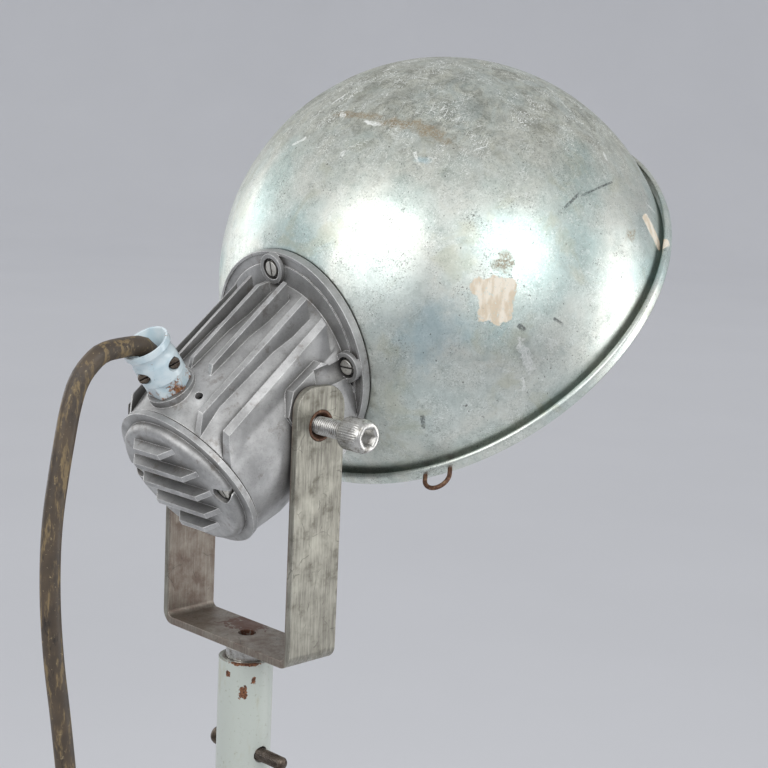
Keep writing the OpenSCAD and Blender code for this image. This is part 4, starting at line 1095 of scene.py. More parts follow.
def cord_rubber():
    """Natural-rubber mains cord: dark brown-grey and dull, scuffed tan where it was dragged."""
    material, tree, shader, place = new_material("natural_rubber")
    # scuffs run along the cord, about 5 mm wide and five times as long
    long_marks = add(tree, "TexNoise", {
        "Vector": add(tree, "Mapping", {"Vector": place, "Scale": (1, 1, 1 / 5)}),
        "Scale": 1 / (5.0 * MM), "Detail": 5.0, "Roughness": 0.7,
    })
    base = add(tree, "Mix", {
        0: add(tree, "MapRange", {
            0: add(tree, "TexNoise", {
                "Vector": place, "Scale": 1 / (22 * MM), "Detail": 4.0, "Roughness": 0.55,
            }),
            1: 0.35, 2: 0.65,
        }, interpolation_type="SMOOTHSTEP"),
        6: "#3a3128", 7: "#4c4032",
    }, 2, data_type="RGBA")
    base = add(tree, "Mix", {
        0: add(tree, "MapRange", {
            0: long_marks, 1: 0.5, 2: 0.62, 3: 0.0, 4: 0.85,
        }, interpolation_type="SMOOTHSTEP"),
        6: base, 7: "#7d6b4b",
    }, 2, data_type="RGBA")
    pale = add(tree, "MapRange", {
        0: add(tree, "TexNoise", {
            "Vector": place, "Scale": 1 / (3.0 * MM), "Detail": 5.0, "Roughness": 0.75,
        }),
        1: 0.61, 2: 0.68, 3: 0.0, 4: 0.7,
    }, interpolation_type="SMOOTHSTEP")
    base = add(tree, "Mix", {0: pale, 6: base, 7: "#ab9a76"}, 2, data_type="RGBA")
    black = add(tree, "MapRange", {
        0: add(tree, "TexNoise", {
            "Vector": add(tree, "Mapping", {"Vector": place, "Scale": (1, 1, 1 / 3)}),
            "Scale": 1 / (8.0 * MM), "Detail": 4.0, "Roughness": 0.7,
        }),
        1: 0.58, 2: 0.68, 3: 0.0, 4: 0.8,
    }, interpolation_type="SMOOTHSTEP")
    base = add(tree, "Mix", {0: black, 6: base, 7: "#201b17"}, 2, data_type="RGBA")
    bumped = add(tree, "Bump", {
        "Height": add(tree, "Math", {
            0: long_marks,
            1: add(tree, "TexNoise", {
                "Vector": place, "Scale": 1 / (1.2 * MM), "Detail": 3.0, "Roughness": 0.55,
            }),
        }, operation="ADD"),
        "Distance": 0.18 * MM, "Strength": 0.6,
    })
    fill(shader, {
        "Base Color": base, "Metallic": 0.0,
        "Roughness": add(tree, "MapRange", {
            0: long_marks, 1: 0.3, 2: 0.7, 3: 0.42, 4: 0.62,
        }, interpolation_type="SMOOTHSTEP"),
        "Normal": bumped,
    })
    return material


def moulded(name, tone, other, rough, grain_mm=0.8, depth_mm=0.05):
    """Moulded rubber or plastic: an even tone with a fine eggshell texture and slight dust."""
    material, tree, shader, place = new_material(name)
    cloud = add(tree, "TexNoise", {
        "Vector": place, "Scale": 1 / (16 * MM), "Detail": 4.0, "Roughness": 0.6,
    })
    base = add(tree, "Mix", {
        0: add(tree, "MapRange", {0: cloud, 1: 0.35, 2: 0.7}, interpolation_type="SMOOTHSTEP"),
        6: tone, 7: other,
    }, 2, data_type="RGBA")
    worn = edge_wear_and_highlight(tree, 0.6)
    base = add(tree, "Mix", {
        0: add(tree, "Math", {0: worn, 1: 0.3}, operation="MULTIPLY"),
        6: base, 7: "#9c988f",
    }, 2, data_type="RGBA")
    bumped = add(tree, "Bump", {
        "Height": add(tree, "TexNoise", {
            "Vector": place, "Scale": 1 / (grain_mm * MM), "Detail": 3.0, "Roughness": 0.55,
        }),
        "Distance": depth_mm * MM, "Strength": 0.5,
    })
    fill(shader, {
        "Base Color": base, "Metallic": 0.0,
        "Roughness": add(tree, "MapRange", {
            0: cloud, 1: 0.3, 2: 0.7, 3: rough, 4: rough + 0.12,
        }, interpolation_type="SMOOTHSTEP"),
        "Normal": bumped,
    })
    return material


def porcelain():
    """Glazed electrical porcelain: creamy white, glassy, with a few iron specks in the glaze."""
    material, tree, shader, place = new_material("glazed_porcelain")
    specks = add(tree, "MapRange", {
        0: add(tree, "TexNoise", {
            "Vector": place, "Scale": 1 / (1.6 * MM), "Detail": 2.0, "Roughness": 0.55,
        }),
        1: 0.74, 2: 0.78,
    }, interpolation_type="SMOOTHSTEP")
    base = add(tree, "Mix", {
        0: add(tree, "MapRange", {
            0: add(tree, "TexNoise", {
                "Vector": place, "Scale": 1 / (18 * MM), "Detail": 3.0, "Roughness": 0.55,
            }),
            1: 0.4, 2: 0.7,
        }, interpolation_type="SMOOTHSTEP"),
        6: "#efeadd", 7: "#e2dac6",
    }, 2, data_type="RGBA")
    base = add(tree, "Mix", {0: specks, 6: base, 7: "#7b6650"}, 2, data_type="RGBA")
    bumped = add(tree, "Bump", {
        "Height": add(tree, "TexNoise", {
            "Vector": place, "Scale": 1 / (5.0 * MM), "Detail": 2.0, "Roughness": 0.55,
        }),
        "Distance": 0.05 * MM, "Strength": 0.4,
    })
    fill(shader, {
        "Base Color": base, "Metallic": 0.0, "Roughness": 0.12, "Coat Weight": 0.6,
        "Coat Roughness": 0.05, "Normal": bumped,
    })
    return material


def brass():
    """Rolled brass: warm yellow, dulled to brown in patches by heat."""
    material, tree, shader, place = new_material("rolled_brass")
    heat = add(tree, "TexNoise", {
        "Vector": place, "Scale": 1 / (9.0 * MM), "Detail": 4.0, "Roughness": 0.6,
    })
    base = add(tree, "Mix", {
        0: add(tree, "MapRange", {0: heat, 1: 0.4, 2: 0.7}, interpolation_type="SMOOTHSTEP"),
        6: "#d3b06a", 7: "#8f6b3a",
    }, 2, data_type="RGBA")
    bumped = add(tree, "Bump", {
        "Height": add(tree, "TexNoise", {
            "Vector": place, "Scale": 1 / (1.0 * MM), "Detail": 3.0, "Roughness": 0.55,
        }),
        "Distance": 0.03 * MM, "Strength": 0.4,
    })
    fill(shader, {
        "Base Color": base, "Metallic": 1.0,
        "Roughness": add(tree, "MapRange", {
            0: heat, 1: 0.3, 2: 0.7, 3: 0.25, 4: 0.42,
        }, interpolation_type="SMOOTHSTEP"),
        "Normal": bumped,
    })
    return material


def bulb_glass():
    """Blown borosilicate glass with a thin white coating inside, as a mercury lamp's: milky and
    glossy."""
    material, tree, shader, place = new_material("coated_blown_glass")
    film = add(tree, "TexNoise", {
        "Vector": place, "Scale": 1 / (20 * MM), "Detail": 3.0, "Roughness": 0.55,
    })
    base = add(tree, "Mix", {
        0: add(tree, "MapRange", {0: film, 1: 0.3, 2: 0.7}, interpolation_type="SMOOTHSTEP"),
        6: "#f4f4ee", 7: "#e4e6e0",
    }, 2, data_type="RGBA")
    bumped = add(tree, "Bump", {
        "Height": add(tree, "TexNoise", {
            "Vector": place, "Scale": 1 / (14 * MM), "Detail": 2.0, "Roughness": 0.55,
        }),
        "Distance": 0.08 * MM, "Strength": 0.3,
    })
    fill(shader, {
        "Base Color": base, "Metallic": 0.0,
        "Roughness": add(tree, "MapRange", {
            0: film, 1: 0.3, 2: 0.7, 3: 0.16, 4: 0.24,
        }, interpolation_type="SMOOTHSTEP"),
        "Coat Weight": 0.8, "Coat Roughness": 0.04, "Subsurface Weight": 0.1, "Normal": bumped,
    })
    return material


def studio_floor():
    """Matt seamless paper: even pale grey with the faintest mottling."""
    material, tree, shader, place = new_material("seamless_paper")
    base = add(tree, "Mix", {
        0: add(tree, "TexNoise", {
            "Vector": place, "Scale": 1 / (900 * MM), "Detail": 3.0, "Roughness": 0.55,
        }),
        6: "#dcdde0", 7: "#e2e3e6",
    }, 2, data_type="RGBA")
    fill(shader, {
        "Base Color": base, "Metallic": 0.0, "Roughness": 0.9, "Specular IOR Level": 0.15,
    })
    return material


# Marks on the bowl's outside: what they are, degrees from the rim's great circle and around the
# bowl's axis, degrees of slant, and half sizes in millimetres along and across.
BOWL_MARKS = [
    ("paint", -27, 114, 56, 15, 12.5), ("paint", -1, 64, 83, 13, 5),
    ("tan", -32, 106, 104, 6, 6), ("tan", -9, 73, 133, 5, 4), ("tan", -84, 65, 68, 18, 3),
    ("tan", -73, 79, 88, 12, 4), ("tan", -65, 80, 85, 15, 5),
    ("white", -12, 116, 81, 11, 3.2), ("white", -6, 120, 66, 5, 1.2),
    ("white", -22, 57, 34, 3, 1.2), ("white", -80, 84, 82, 7, 1.6), ("white", -67, -9, 61, 3, 1),
    ("white", -88, 14, -13, 3, 2), ("white", -80, -39, 25, 6, 1.2),
    ("white", -80, -130, -101, 7, 1.5), ("white", -78, 137, -135, 3, 1.6),
    ("white", -64, 98, 51, 5, 1), ("white", -2, 57, 112, 8, 1.2),
    ("dark", -28, 79, 165, 9, 1), ("dark", -23, 70, 146, 18, 0.7), ("dark", -13, 105, 110, 4, 1),
    ("dark", -9, 145, 68, 5, 1.4), ("dark", -18, 113, 106, 3, 1.6),
    ("smudge", -74, 44, 101, 10, 6.6), ("smudge", -76, 4, 82, 9, 5.4),
    ("smudge", -56, 56, 143, 10, 7), ("smudge", -60, 36, 114, 13, 5),
    ("smudge", -12, 116, 81, 8, 4.5),
    ("blue", -62, 98, 111, 4, 2), ("blue", -28, 132, 106, 14, 19),
    ("pits", -68, -166, -169, 7, 4), ("pits", -58, -171, -179, 10, 4),
    ("pits", -56, 158, 136, 5, 4), ("pits", -54, 126, 96, 7, 4), ("pits", -42, 104, 92, 9, 7),
    ("pits", -46, 130, 123, 10, 6), ("pits", -32, 108, 107, 15, 10),
    ("pits", -33, 120, 111, 6, 5), ("pits", -15, 88, 133, 4, 3), ("pits", -51, 151, 125, 10, 4),
]


def on_bowl(latitude, longitude, slant):
    """A point on the bowl's outside, its normal, and a direction along the surface, slant degrees
    from east."""
    a, b = math.radians(longitude), math.radians(latitude)
    normal = Vector((math.cos(b) * math.cos(a), math.cos(b) * math.sin(a), math.sin(b)))
    east = Vector((-math.sin(a), math.cos(a), 0))
    north = normal.cross(east)
    s = math.radians(slant)
    along = east * math.cos(s) + north * math.sin(s)
    turn = BOWL_FRAME.to_3x3()
    return BOWL_FRAME @ (normal * BOWL_R), turn @ normal, turn @ along


# ---- mesh helpers ----

SHARP_ANGLE = math.radians(34)
FLAT_ANGLE = math.radians(0.4)

def link_mesh(name, bm):
    """An object of the finished mesh, in the scene."""
    mesh = bpy.data.meshes.new(name)
    bm.normal_update()
    bm.to_mesh(mesh)
    bm.free()
    mesh.shade_smooth()
    piece = bpy.data.objects.new(name, mesh)
    bpy.context.scene.collection.objects.link(piece)
    return piece


def lathe(name, profile, place, sides, closed=True, wobble=None):
    """Turns a profile of (radius, height) points about the local Z axis. wobble(ring, side, r, z)
    may move a point."""
    bm = bmesh.new()
    rings = []
    for i, (r, z) in enumerate(profile):
        if r < 1e-7:
            rings.append([bm.verts.new(place @ Vector((0, 0, z)))])
            continue
        ring = []
        for k in range(sides):
            a = 2 * math.pi * k / sides
            rr, zz = wobble(i, k, r, z) if wobble else (r, z)
            ring.append(bm.verts.new(place @ Vector((rr * math.cos(a), rr * math.sin(a), zz))))
        rings.append(ring)
    pairs = list(zip(rings, rings[1:]))
    if closed and len(rings[0]) > 1 and len(rings[-1]) > 1:
        pairs.append((rings[-1], rings[0]))
    for low, high in pairs:
        for k in range(sides):
            n = (k + 1) % sides
            if len(low) == 1 and len(high) == 1:
                continue
            if len(low) == 1:
                bm.faces.new((low[0], high[n], high[k]))
            elif len(high) == 1:
                bm.faces.new((low[k], low[n], high[0]))
            else:
                bm.faces.new((low[k], low[n], high[n], high[k]))
    bmesh.ops.recalc_face_normals(bm, faces=bm.faces)
    return link_mesh(name, bm)


def finish_edges(piece, width_mm):
    """Rounds a piece's edges as casting, filing or wear leaves them. Width 0 leaves them crisp, for
    a material that rounds them itself."""
    if width_mm:
        rounding = piece.modifiers.new("rounded_edges", "BEVEL")
        rounding.width = width_mm * MM
        rounding.segments = 2
        rounding.limit_method = "ANGLE"
        rounding.angle_limit = SHARP_ANGLE
        rounding.use_clamp_overlap = True
        rounding.miter_outer = "MITER_ARC"
    shading = piece.modifiers.new("even_shading", "WEIGHTED_NORMAL")
    shading.keep_sharp = True
    shading.weight = 80


def shape_of(node):
    """A node's shape with its doubled points joined."""
    bm = bmesh.new()
    bm.from_mesh(NODES[node].data)
    bmesh.ops.remove_doubles(bm, verts=bm.verts, dist=2e-6)
    for face in bm.faces:
        face.material_index = 0
    return bm


def recast(node, width_mm):
    """A copy of a CAD node's shape with its flats joined up and its edges finished."""
    bm = shape_of(node)
    if width_mm:
        bmesh.ops.dissolve_limit(bm, angle_limit=FLAT_ANGLE, verts=bm.verts, edges=bm.edges)
    for edge in bm.edges:
        edge.smooth = len(edge.link_faces) == 2 and edge.calc_face_angle(0) < SHARP_ANGLE
    piece = link_mesh(node + "_shell", bm)
    custom = piece.data.attributes.get("custom_normal")
    if custom:
        piece.data.attributes.remove(custom)
    finish_edges(piece, width_mm)
    return piece


def dress(piece, material, body, slot, *nodes):
    """Gives a piece its material and its body and hides the nodes that it stands for. Its slot is
    not used."""
    piece.data.materials.clear()
    piece.data.materials.append(material)
    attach(piece, body)
    if nodes:
        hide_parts(*nodes)
    return piece


def body_of(node):
    return NODES[node]["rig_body"]


# ---- the reflector ----

# the bowl's materials, in the order of its slots after the outside's
RIM_SLOT, INSIDE_SLOT, GUTTER_SLOT = 1, 2, 3

def arc(centre, radius, start, end, steps):
    """Points on an arc in the (radius, height) plane, degrees from the radius axis."""
    points = []
    for k in range(steps + 1):
        a = math.radians(start + (end - start) * k / steps)
        points.append((centre[0] + radius * math.cos(a), centre[1] + radius * math.sin(a)))
    return points


def sheet_profile(middle, wall):
    """A closed outline of even thickness around a middle line."""
    out, back = [], []
    for i, (r, z) in enumerate(middle):
        r0, z0 = middle[max(i - 1, 0)]
        r1, z1 = middle[min(i + 1, len(middle) - 1)]
        length = math.hypot(r1 - r0, z1 - z0)
        nr, nz = (z1 - z0) / length * wall / 2, -(r1 - r0) / length * wall / 2
        out.append((max(r + nr, 0), z + nz))
        back.append((max(r - nr, 0), z - nz))
    return out, back


def make_bowl():
    """The spun bowl: a sphere's crown, a swaged step, the rim gutter and its rolled edge."""
    sides, wall, rim_z = 180, BOWL_WALL, RIM_AHEAD
    step_below, lip_width, lip_height = 0.0035, 0.007, 0.0075
    floor_bend, lip_bend, roll_r = 0.0018, 0.0022, 0.0014
    middle_r = BOWL_R - wall / 2
    top = math.degrees(math.asin((rim_z - step_below) / middle_r))
    crown = arc((0, 0), middle_r, -90, top, 110)
    wall_r = crown[-1][0]
    # the sheet turns outwards in the gutter's floor, back along its lip and over into the roll
    gutter = arc((wall_r + floor_bend, rim_z - wall / 2 - floor_bend), floor_bend, 180, 90, 5)
    lip_r = math.sqrt(BOWL_R ** 2 - rim_z ** 2) + lip_width - wall / 2
    lip = arc((lip_r - lip_bend, rim_z - wall / 2 - lip_bend), lip_bend, 90, 0, 6)
    roll = arc((lip_r - roll_r, rim_z - lip_height), roll_r, 0, -120, 6)
    out, back = sheet_profile(crown + gutter + lip + roll, wall)

    def dent(i, k, r, z):
        """Shallow knocks and waves that the sheet has picked up, none at the crown's tip or near
        the rim."""
        if r < 0.004:
            return r, z
        a = 2 * math.pi * k / sides
        at = Vector((r * math.cos(a), r * math.sin(a), z))
        calm = min(1.0, max(0.0, (rim_z - 0.012 - z) / 0.05))
        waves = noise.noise(at * 11) * 0.45
        knocks = noise.noise(at * 27 + Vector((5, 1, 2))) * 0.16
        push = (waves + knocks) * MM * calm
        away = math.hypot(r, z)
        return r * (1 + push / away), z * (1 + push / away)

    bowl = lathe("bowl", out + back[::-1], BOWL_FRAME, sides, wobble=dent)
    bm = bmesh.new()
    bm.from_mesh(bowl.data)
    bmesh.ops.remove_doubles(bm, verts=bm.verts, dist=1e-6)
    # the crown is cut away where the seat ring closes it
    seat = SEAT_FRAME @ Vector((0, 0, SEAT_LIFT))
    ahead = SEAT_FRAME.to_3x3() @ Vector((0, 0, 1))
    cut = bmesh.ops.bisect_plane(
        bm, geom=bm.verts[:] + bm.edges[:] + bm.faces[:], plane_co=seat, plane_no=ahead,
        clear_inner=True,
    )
    edges = [e for e in cut["geom_cut"] if isinstance(e, bmesh.types.BMEdge)]
    bmesh.ops.bridge_loops(bm, edges=edges)
    bmesh.ops.recalc_face_normals(bm, faces=bm.faces)
    centre = BOWL_FRAME.translation
    axis = BOWL_FRAME.to_3x3() @ Vector((0, 0, 1))
    gutter_deep, gutter_floor, near_wall = 0.0115, 0.0065, 0.0012
    for face in bm.faces:
        from_centre = face.calc_center_median() - centre
        along = from_centre.dot(axis)
        outwards = from_centre - axis * along
        aside = outwards.length
        if along > rim_z - gutter_deep and aside > wall_r - near_wall:
            face.material_index = RIM_SLOT
            backwards = face.normal.dot(axis) < -0.5 and aside < lip_r - near_wall
            inwards = face.normal.dot(outwards) < 0
            if backwards or (inwards and along > rim_z - gutter_floor):
                face.material_index = GUTTER_SLOT
        elif face.normal.dot(from_centre) < 0:
            face.material_index = INSIDE_SLOT
    bm.to_mesh(bowl.data)
    bm.free()
    bowl.data.shade_smooth()
    return bowl


def make_seat_ring():
    """The flat ring pressed into the bowl where the housing's flange clamps it."""
    z = SEAT_LIFT
    profile = [(LAMP_HOLE_R, z), (SEAT_R - 0.0006, z), (SEAT_R - 0.0003, z + 0.0004),
               (SEAT_R - 0.0006, z + BOWL_WALL), (LAMP_HOLE_R, z + BOWL_WALL)]
    return lathe("bowl_seat_ring", profile, SEAT_FRAME, 96)


# ---- screws ----

def threaded(name, place, radius, pitch, length, sides=28):
    """A rod with a true helical thread, from local z = 0 up."""
    depth, per_turn = 0.55 * pitch, 7
    bm = bmesh.new()
    count = int(length / pitch * per_turn)
    rings = []
    for i in range(count + 1):
        z = length * i / count
        ring = []
        for k in range(sides):
            turn = (z / pitch - k / sides) % 1.0
            tooth = abs(turn * 2 - 1)
            taper = min(1.0, (length - z) / pitch, z / pitch + 0.2)
            r = radius - depth + depth * min(1.0, max(0.0, tooth * 1.35 - 0.15)) * taper
            a = 2 * math.pi * k / sides
            ring.append(bm.verts.new(place @ Vector((r * math.cos(a), r * math.sin(a), z))))
        rings.append(ring)
    for low, high in zip(rings, rings[1:]):
        for k in range(sides):
            n = (k + 1) % sides
            bm.faces.new((low[k], low[n], high[n], high[k]))
    bm.faces.new(rings[0][::-1])
    bm.faces.new(rings[-1])
    return link_mesh(name, bm)


def joined(name, pieces):
    """One object from several closed meshes."""
    bm = bmesh.new()
    for piece in pieces:
        bm.from_mesh(piece.data)
        bpy.data.objects.remove(piece)
    return link_mesh(name, bm)


def socket_head(name, place, radius, height, across, depth):
    """A cap head with a knurled side, a chamfer and a six-sided socket."""
    sides = 4 * 40
    knurl = 0.0004
    hexagon = across / 2

    def shape(i, k, r, z):
        if kinds[i] == "knurl":
            return r - (knurl if k % 4 >= 2 else 0), z
        if kinds[i] == "socket":
            a = (2 * math.pi * k / sides) % (math.pi / 3) - math.pi / 6
            return hexagon / math.cos(a), z
        return r, z

    rows = [
        ("plain", 0, 0), ("plain", radius - 0.0012, 0), ("knurl", radius - 0.0002, 0.0008),
        ("knurl", radius, 0.0016), ("knurl", radius, height * 0.5),
        ("knurl", radius, height - 0.0034),
        ("plain", radius - 0.0006, height - 0.0028), ("plain", radius - 0.0007, height - 0.0014),
        ("plain", radius - 0.0012, height - 0.0005), ("plain", radius - 0.0022, height),
        ("plain", hexagon * 1.2, height), ("socket", hexagon, height - 0.0008),
        ("socket", hexagon, height - depth), ("plain", 0, height - depth - 0.001),
    ]
    kinds = [row[0] for row in rows]
    return lathe(name, [(row[1], row[2]) for row in rows], place, sides, wobble=shape)


def side_frame(side, y, z):
    """A frame whose +Z points out along side * Y, from a point on the mast's plane."""
    return Matrix.Translation((0, side * y, z)) @ Matrix.Rotation(-side * math.pi / 2, 4, "X")


def make_pivot_screws():
    """The long socket screws that the housing tilts on: a threaded shank and a knurled head."""
    pieces = []
    root, shank_r, pitch = 0.0395, 0.006, 0.00175
    head_r, head_h, across, depth = 0.0105, 0.019, 0.010, 0.011
    head_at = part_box("pivot_screws")[1].y - head_h
    for side in (-1, 1):
        shank_at = side_frame(side, root, PIVOT.z)
        pieces.append(threaded("thread", shank_at, shank_r, pitch, head_at - root + 0.0005))
        top_at = side_frame(side, head_at, PIVOT.z)
        pieces.append(socket_head("head", top_at, head_r, head_h, across, depth))
    return joined("pivot_socket_screws", pieces)


def make_spigot_screws():
    """A round-headed screw on the far side and a bare threaded end on the near side."""
    low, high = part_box("spigot_screws")
    z = (low.z + high.z) / 2
    tip, head_from, radius, pitch = 0.0136, 0.0223, 0.0045, 0.0012
    near = threaded("near_thread", side_frame(-1, tip, z), radius, pitch, -low.y - tip - 0.0002, 24)
    far = threaded("far_thread", side_frame(1, tip, z), radius, pitch, head_from - tip + 0.0005, 24)
    dome = [
        (0, 0), (0.0058, 0), (0.0064, 0.0006), (0.0064, 0.0034), (0.0058, 0.0052),
        (0.0044, 0.0066), (0.0024, 0.0073), (0.0013, 0.0073), (0.0011, 0.006), (0, 0.0058),
    ]
    head = lathe("dome", dome, side_frame(1, head_from, z), 40)
    return joined("spigot_set_screws", [near, far, head])


# ---- the cord ----

# Its middle line in millimetres: out of the gland, down to the floor, and from the coil to the
# plug.
CORD_D = 0.0125
NECK_ROUTE = [
    (-72.4, 0, 1486.5), (-76.5, 0, 1492.2), (-80.6, 0, 1497.8), (-84.2, 0, 1502.3),
    (-88.8, 0, 1506.3), (-94.5, 0, 1509),
]
DROP_ROUTE = [
    (-118, 0, 1507.5), (-129.5, 0, 1501), (-138, 0, 1490.5), (-143.5, 0, 1475), (-147.5, 0, 1456),
    (-151.5, 0, 1434), (-155, 0, 1410), (-156.5, 0, 1385), (-156, 0, 1354), (-153, 0, 1320),
    (-148, 0, 1284), (-143, 0, 1244), (-138, 0, 1196), (-134, 0, 1140), (-132, 0, 1060),
    (-131, 0, 960),
    (-131, 0, 840), (-131, 0, 720), (-131, 0, 600), (-131, 0, 480), (-131, 0, 360), (-131, 1, 240),
    (-132, 4, 160), (-133, 12, 100), (-134, 26, 55), (-137, 45, 24), (-146, 62, 10),
    (-162, 71.5, 6.5),
    (-182, 74, 6.5), (-202, 74, 6.5),
]
TAIL_ROUTE = [
    (-318, 10, 31.5), (-325, -5, 29.5), (-328.5, -20, 26), (-329, -34, 22.5), (-327, -47, 20.5),
    (-323.5, -59, 20), (-322, -70, 20), (-322, -84, 20), (-322, -100, 20),
]
COIL_CENTRE = Vector((-0.235, 0, 0))
COIL_R = 0.0675
COIL_PITCH = 0.0126


def in_metres(route):
    return [Vector(point) * MM for point in route]


def smooth_line(points, step=0.004):
    """A Catmull-Rom curve through the points, in even steps."""
    line = []
    for i in range(len(points) - 1):
        a, b = points[max(i - 1, 0)], points[i]
        c, d = points[i + 1], points[min(i + 2, len(points) - 1)]
        count = max(2, int((c - b).length / step))
        for k in range(count):
            u = k / count
            square, cube = 2 * a - 5 * b + 4 * c - d, 3 * b - a - 3 * c + d
            line.append(0.5 * (2 * b + (c - a) * u + square * u * u + cube * u ** 3))
    line.append(points[-1])
    return line


def coil_line():
    """The wound stretch, from the floor up: out and in by turns, five turns and a bit."""
    outer, inner = COIL_R + COIL_PITCH / 2, COIL_R - COIL_PITCH / 2
    floor_z = CORD_D / 2 + 0.0002
    lanes = [(outer, 0), (inner, 0), (inner, 1), (outer, 1), (outer, 2), (outer, 2)]
    # shift is the last part of a turn, where the cord crosses to its next lane
    start, turns, per_turn, shift = 88.0, 5.2, 40, 0.14
    line = []
    for k in range(int(turns * per_turn) + 1):
        u = k / per_turn
        lap = min(int(u), len(lanes) - 2)
        into = max(0.0, (u - lap - (1 - shift)) / shift) if u < len(lanes) - 1 else 0.0
        blend = into * into * (3 - 2 * into)
        (r0, z0), (r1, z1) = lanes[lap], lanes[lap + 1]
        r = r0 + (r1 - r0) * blend
        z = floor_z + COIL_PITCH * (z0 + (z1 - z0) * blend)
        a = math.radians(start + 360 * u)
        line.append(COIL_CENTRE + Vector((r * math.cos(a), r * math.sin(a), z)))
    return line


def rings_along(line):
    """Rings of points around a line, none turned against the one before."""
    rings = []
    radius, sides = CORD_D / 2, 18
    angles = [2 * math.pi * k / sides for k in range(sides)]
    side = Vector((0, 1, 0))
    for i, point in enumerate(line):
        t = (line[min(i + 1, len(line) - 1)] - line[max(i - 1, 0)]).normalized()
        side = (side - t * side.dot(t)).normalized()
        other = t.cross(side)
        rings.append([point + (side * math.cos(a) + other * math.sin(a)) * radius for a in angles])
    return rings


def tube(name, points):
    """A round tube through rings of points, with flat ends."""
    bm = bmesh.new()
    rings = [[bm.verts.new(point) for point in ring] for ring in points]
    sides = len(rings[0])
    for low, high in zip(rings, rings[1:]):
        for k in range(sides):
            n = (k + 1) % sides
            bm.faces.new((low[k], low[n], high[n], high[k]))
    for end in (bm.faces.new(rings[0][::-1]), bm.faces.new(rings[-1])):
        for edge in end.edges:
            edge.smooth = False
    return link_mesh(name, bm)


def make_cords(material):
    """Three lengths of one cord: across the tilt joint, across the pan joint, and down to the coil
    and plug."""
    hanging = smooth_line(in_metres(NECK_ROUTE + DROP_ROUTE))
    coil = coil_line()
    tail = smooth_line([coil[-1]] + in_metres(TAIL_ROUTE[1:]))
    whole = hanging[:-1] + coil + tail[1:]
    rings = rings_along(whole)
    # the heights where one length ends and the next begins, below the tilt joint and the pan joint
    over_tilt, over_pan = 1.385, 0.96
    first = next(i for i, p in enumerate(whole) if p.x < -0.15 and p.z < over_tilt)
    second = next(i for i, p in enumerate(whole) if p.z < over_pan)
    last = len(whole) - 1
    stretches = [
        ("cord_at_head", 0, first, "head", "yoke", whole[12], whole[first],
         ("cord_neck",), "object", "loose"),
        ("cord_at_yoke", first, second, "yoke", "mast", whole[first], whole[second],
         (), "object", "hanging"),
        ("cord_to_plug", second, last, "mast", "stand", whole[second], Vector((-0.131, 0, 0.3)),
         ("cord_drop", "cord_coil", "cord_tail"), "plug", "coiled"),
    ]
    for name, low, high, upper, lower, start, end, nodes, far_end, lay in stretches:
        piece = tube(name, rings[low:high + 1])
        piece.data.materials.append(material)
        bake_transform(piece)
        if nodes:
            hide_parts(*nodes)


# ---- the whole lamp ----

# The nodes that a finished copy stands for, and how far its edges are rounded in millimetres.
ROUNDED = {
    "housing": 0.0, "end_cap": 0.0, "gland_base": 0.0, "gland_half_right": 0.0,
    "gland_half_left": 0.0, "yoke": 0.6, "gland_screws": 0.25, "flange_screws": 0.3,
    "cap_screws": 0.3, "spigot": 0.3, "pivot_bushes": 0.3, "mast_tube": 0.3, "hub": 0.8,
    "clamp_screw": 0.6, "tommy_bar": 0.4, "tommy_caps": 1.2, "hinge_bolts": 0.5,
    "hinge_nuts": 0.5, "leg_1_fitting": 0.8, "leg_2_fitting": 0.8, "leg_3_fitting": 0.8,
    "leg_1_foot": 2.0, "leg_2_foot": 2.0, "leg_3_foot": 2.0, "plug_body": 1.6, "plug_pins": 0.8,
    "leg_1_rivets": 0.5, "leg_2_rivets": 0.5, "leg_3_rivets": 0.5, "backing_ring": 0.3,
    "lampholder": 1.0, "lamp_cap": 0.6, "flange_gasket": 0.0, "cap_gasket": 0.0, "rim_loop": 0.0,
    "mast_plug": 0.8, "hub_liner": 0.3,
}

bpy.context.scene.view_settings.view_transform = "Standard"
place_camera()
place_world()
place_light("left_softbox", -84, 26, 1.9, 1.3, 1.3, 17)
place_light("front_softbox", -12, 22, 2.0, 1.2, 1.3, 15)
place_light("right_softbox", 48, -4, 2.0, 0.8, 1.5, 12)
place_light("back_softbox", -168, 8, 2.1, 0.9, 1.6, 10)
place_floor(studio_floor())

CORD = cord_rubber()

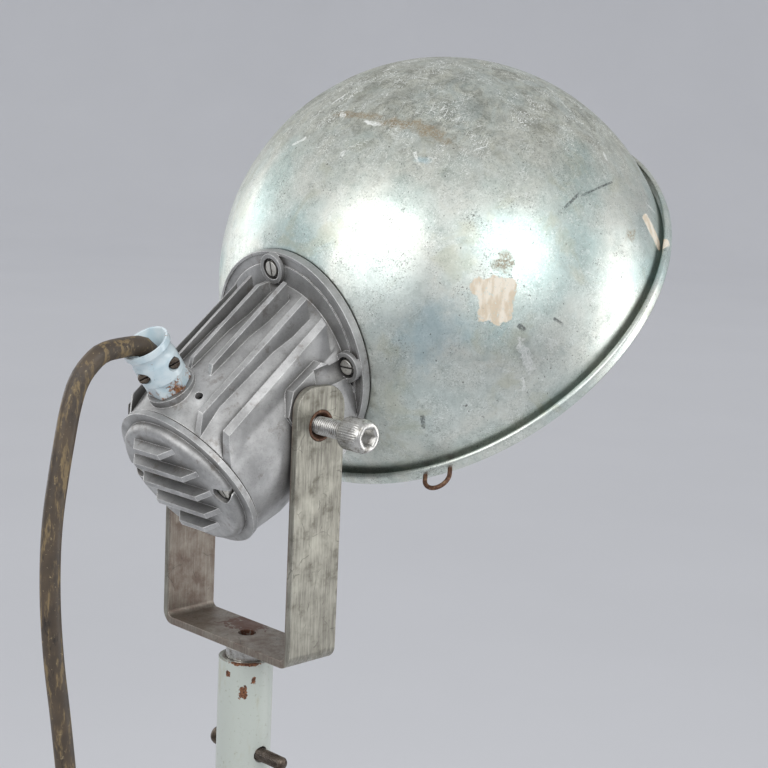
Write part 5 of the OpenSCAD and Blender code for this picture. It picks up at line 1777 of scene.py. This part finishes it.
# bare places at the mast's top: a point, the way it faces, and half sizes in millimetres
MAST_CHIPS = [
    (Vector((-0.0125, -0.0125, 1.2725)), (-0.7, -0.7, 0), (4, 2.6, 6)),
    (Vector((-0.0075, -0.0168, 1.281)), (-0.4, -0.9, 0), (2.4, 1.6, 6)),
    (Vector((-0.0178, -0.003, 1.284)), (-1, -0.2, 0), (2, 1.6, 6)),
    (Vector((-0.0129, -0.0129, 1.292)), (-0.7, -0.7, 0), (1.4, 9, 6)),
]
MATERIALS = {
    "stand_paint": chipped_paint("hammered_stand_paint", "#a2aaa3", "#8d948c"),
    "mast_paint": chipped_paint("brushed_oil_paint", "#b4bab3", "#a6a38c", MAST_CHIPS),
    "zinc_steel": screw_steel("zinc_plated_steel", "#cfcdc6", "#9a948a", 0.4),
    "black_steel": screw_steel("blackened_steel", "#6b6157", "#463c34", 0.8, 0.36),
    "yoke_steel": bar_steel(),
    "bright_steel": screw_steel("turned_bright_steel", "#bdbcb8", "#86827b", 0.5, 0.24),
    "rusty_steel": rusted_steel(),
    "cast_aluminium": cast_aluminium(),
    "spun_aluminium": spun_aluminium(),
    "gland_enamel": gland_enamel(),
    "brass": brass(),
    "porcelain": porcelain(),
    "lamp_glass": bulb_glass(),
    "burner": moulded("fired_ceramic", "#ece4d0", "#dcd2ba", 0.6),
    "nylon": moulded("cast_nylon", "#d6d1bf", "#c6c0ab", 0.45),
    "black_plastic": moulded("moulded_phenolic", "#2a2927", "#3a3834", 0.38),
    "gasket_rubber": moulded("gasket_rubber", "#383633", "#4a4742", 0.6),
    "foot_rubber": moulded("foot_rubber", "#2c2b29", "#46433e", 0.62, 1.2, 0.12),
    "cord_rubber": CORD,
    "core_sleeve": moulded("core_insulation", "#4b6f8f", "#41617e", 0.35),
}
for node, thing in NODES.items():
    thing.data.materials.clear()
    thing.data.materials.append(MATERIALS[SLOTS[node]])

for node, width in ROUNDED.items():
    slot = SLOTS[node]
    dress(recast(node, width), MATERIALS[slot], body_of(node), slot, node)
make_cords(CORD)

bowl = make_bowl()
bowl.data.materials.clear()
for material in (MATERIALS["spun_aluminium"], rolled_rim(), bright_aluminium(), dark_gutter()):
    bowl.data.materials.append(material)
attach(bowl, "head")
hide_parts("reflector")
dress(make_seat_ring(), MATERIALS["spun_aluminium"], "head", "spun_aluminium")
dress(make_pivot_screws(), MATERIALS["bright_steel"], "head", "bright_steel", "pivot_screws")
dress(make_spigot_screws(), MATERIALS["black_steel"], "mast", "black_steel", "spigot_screws")
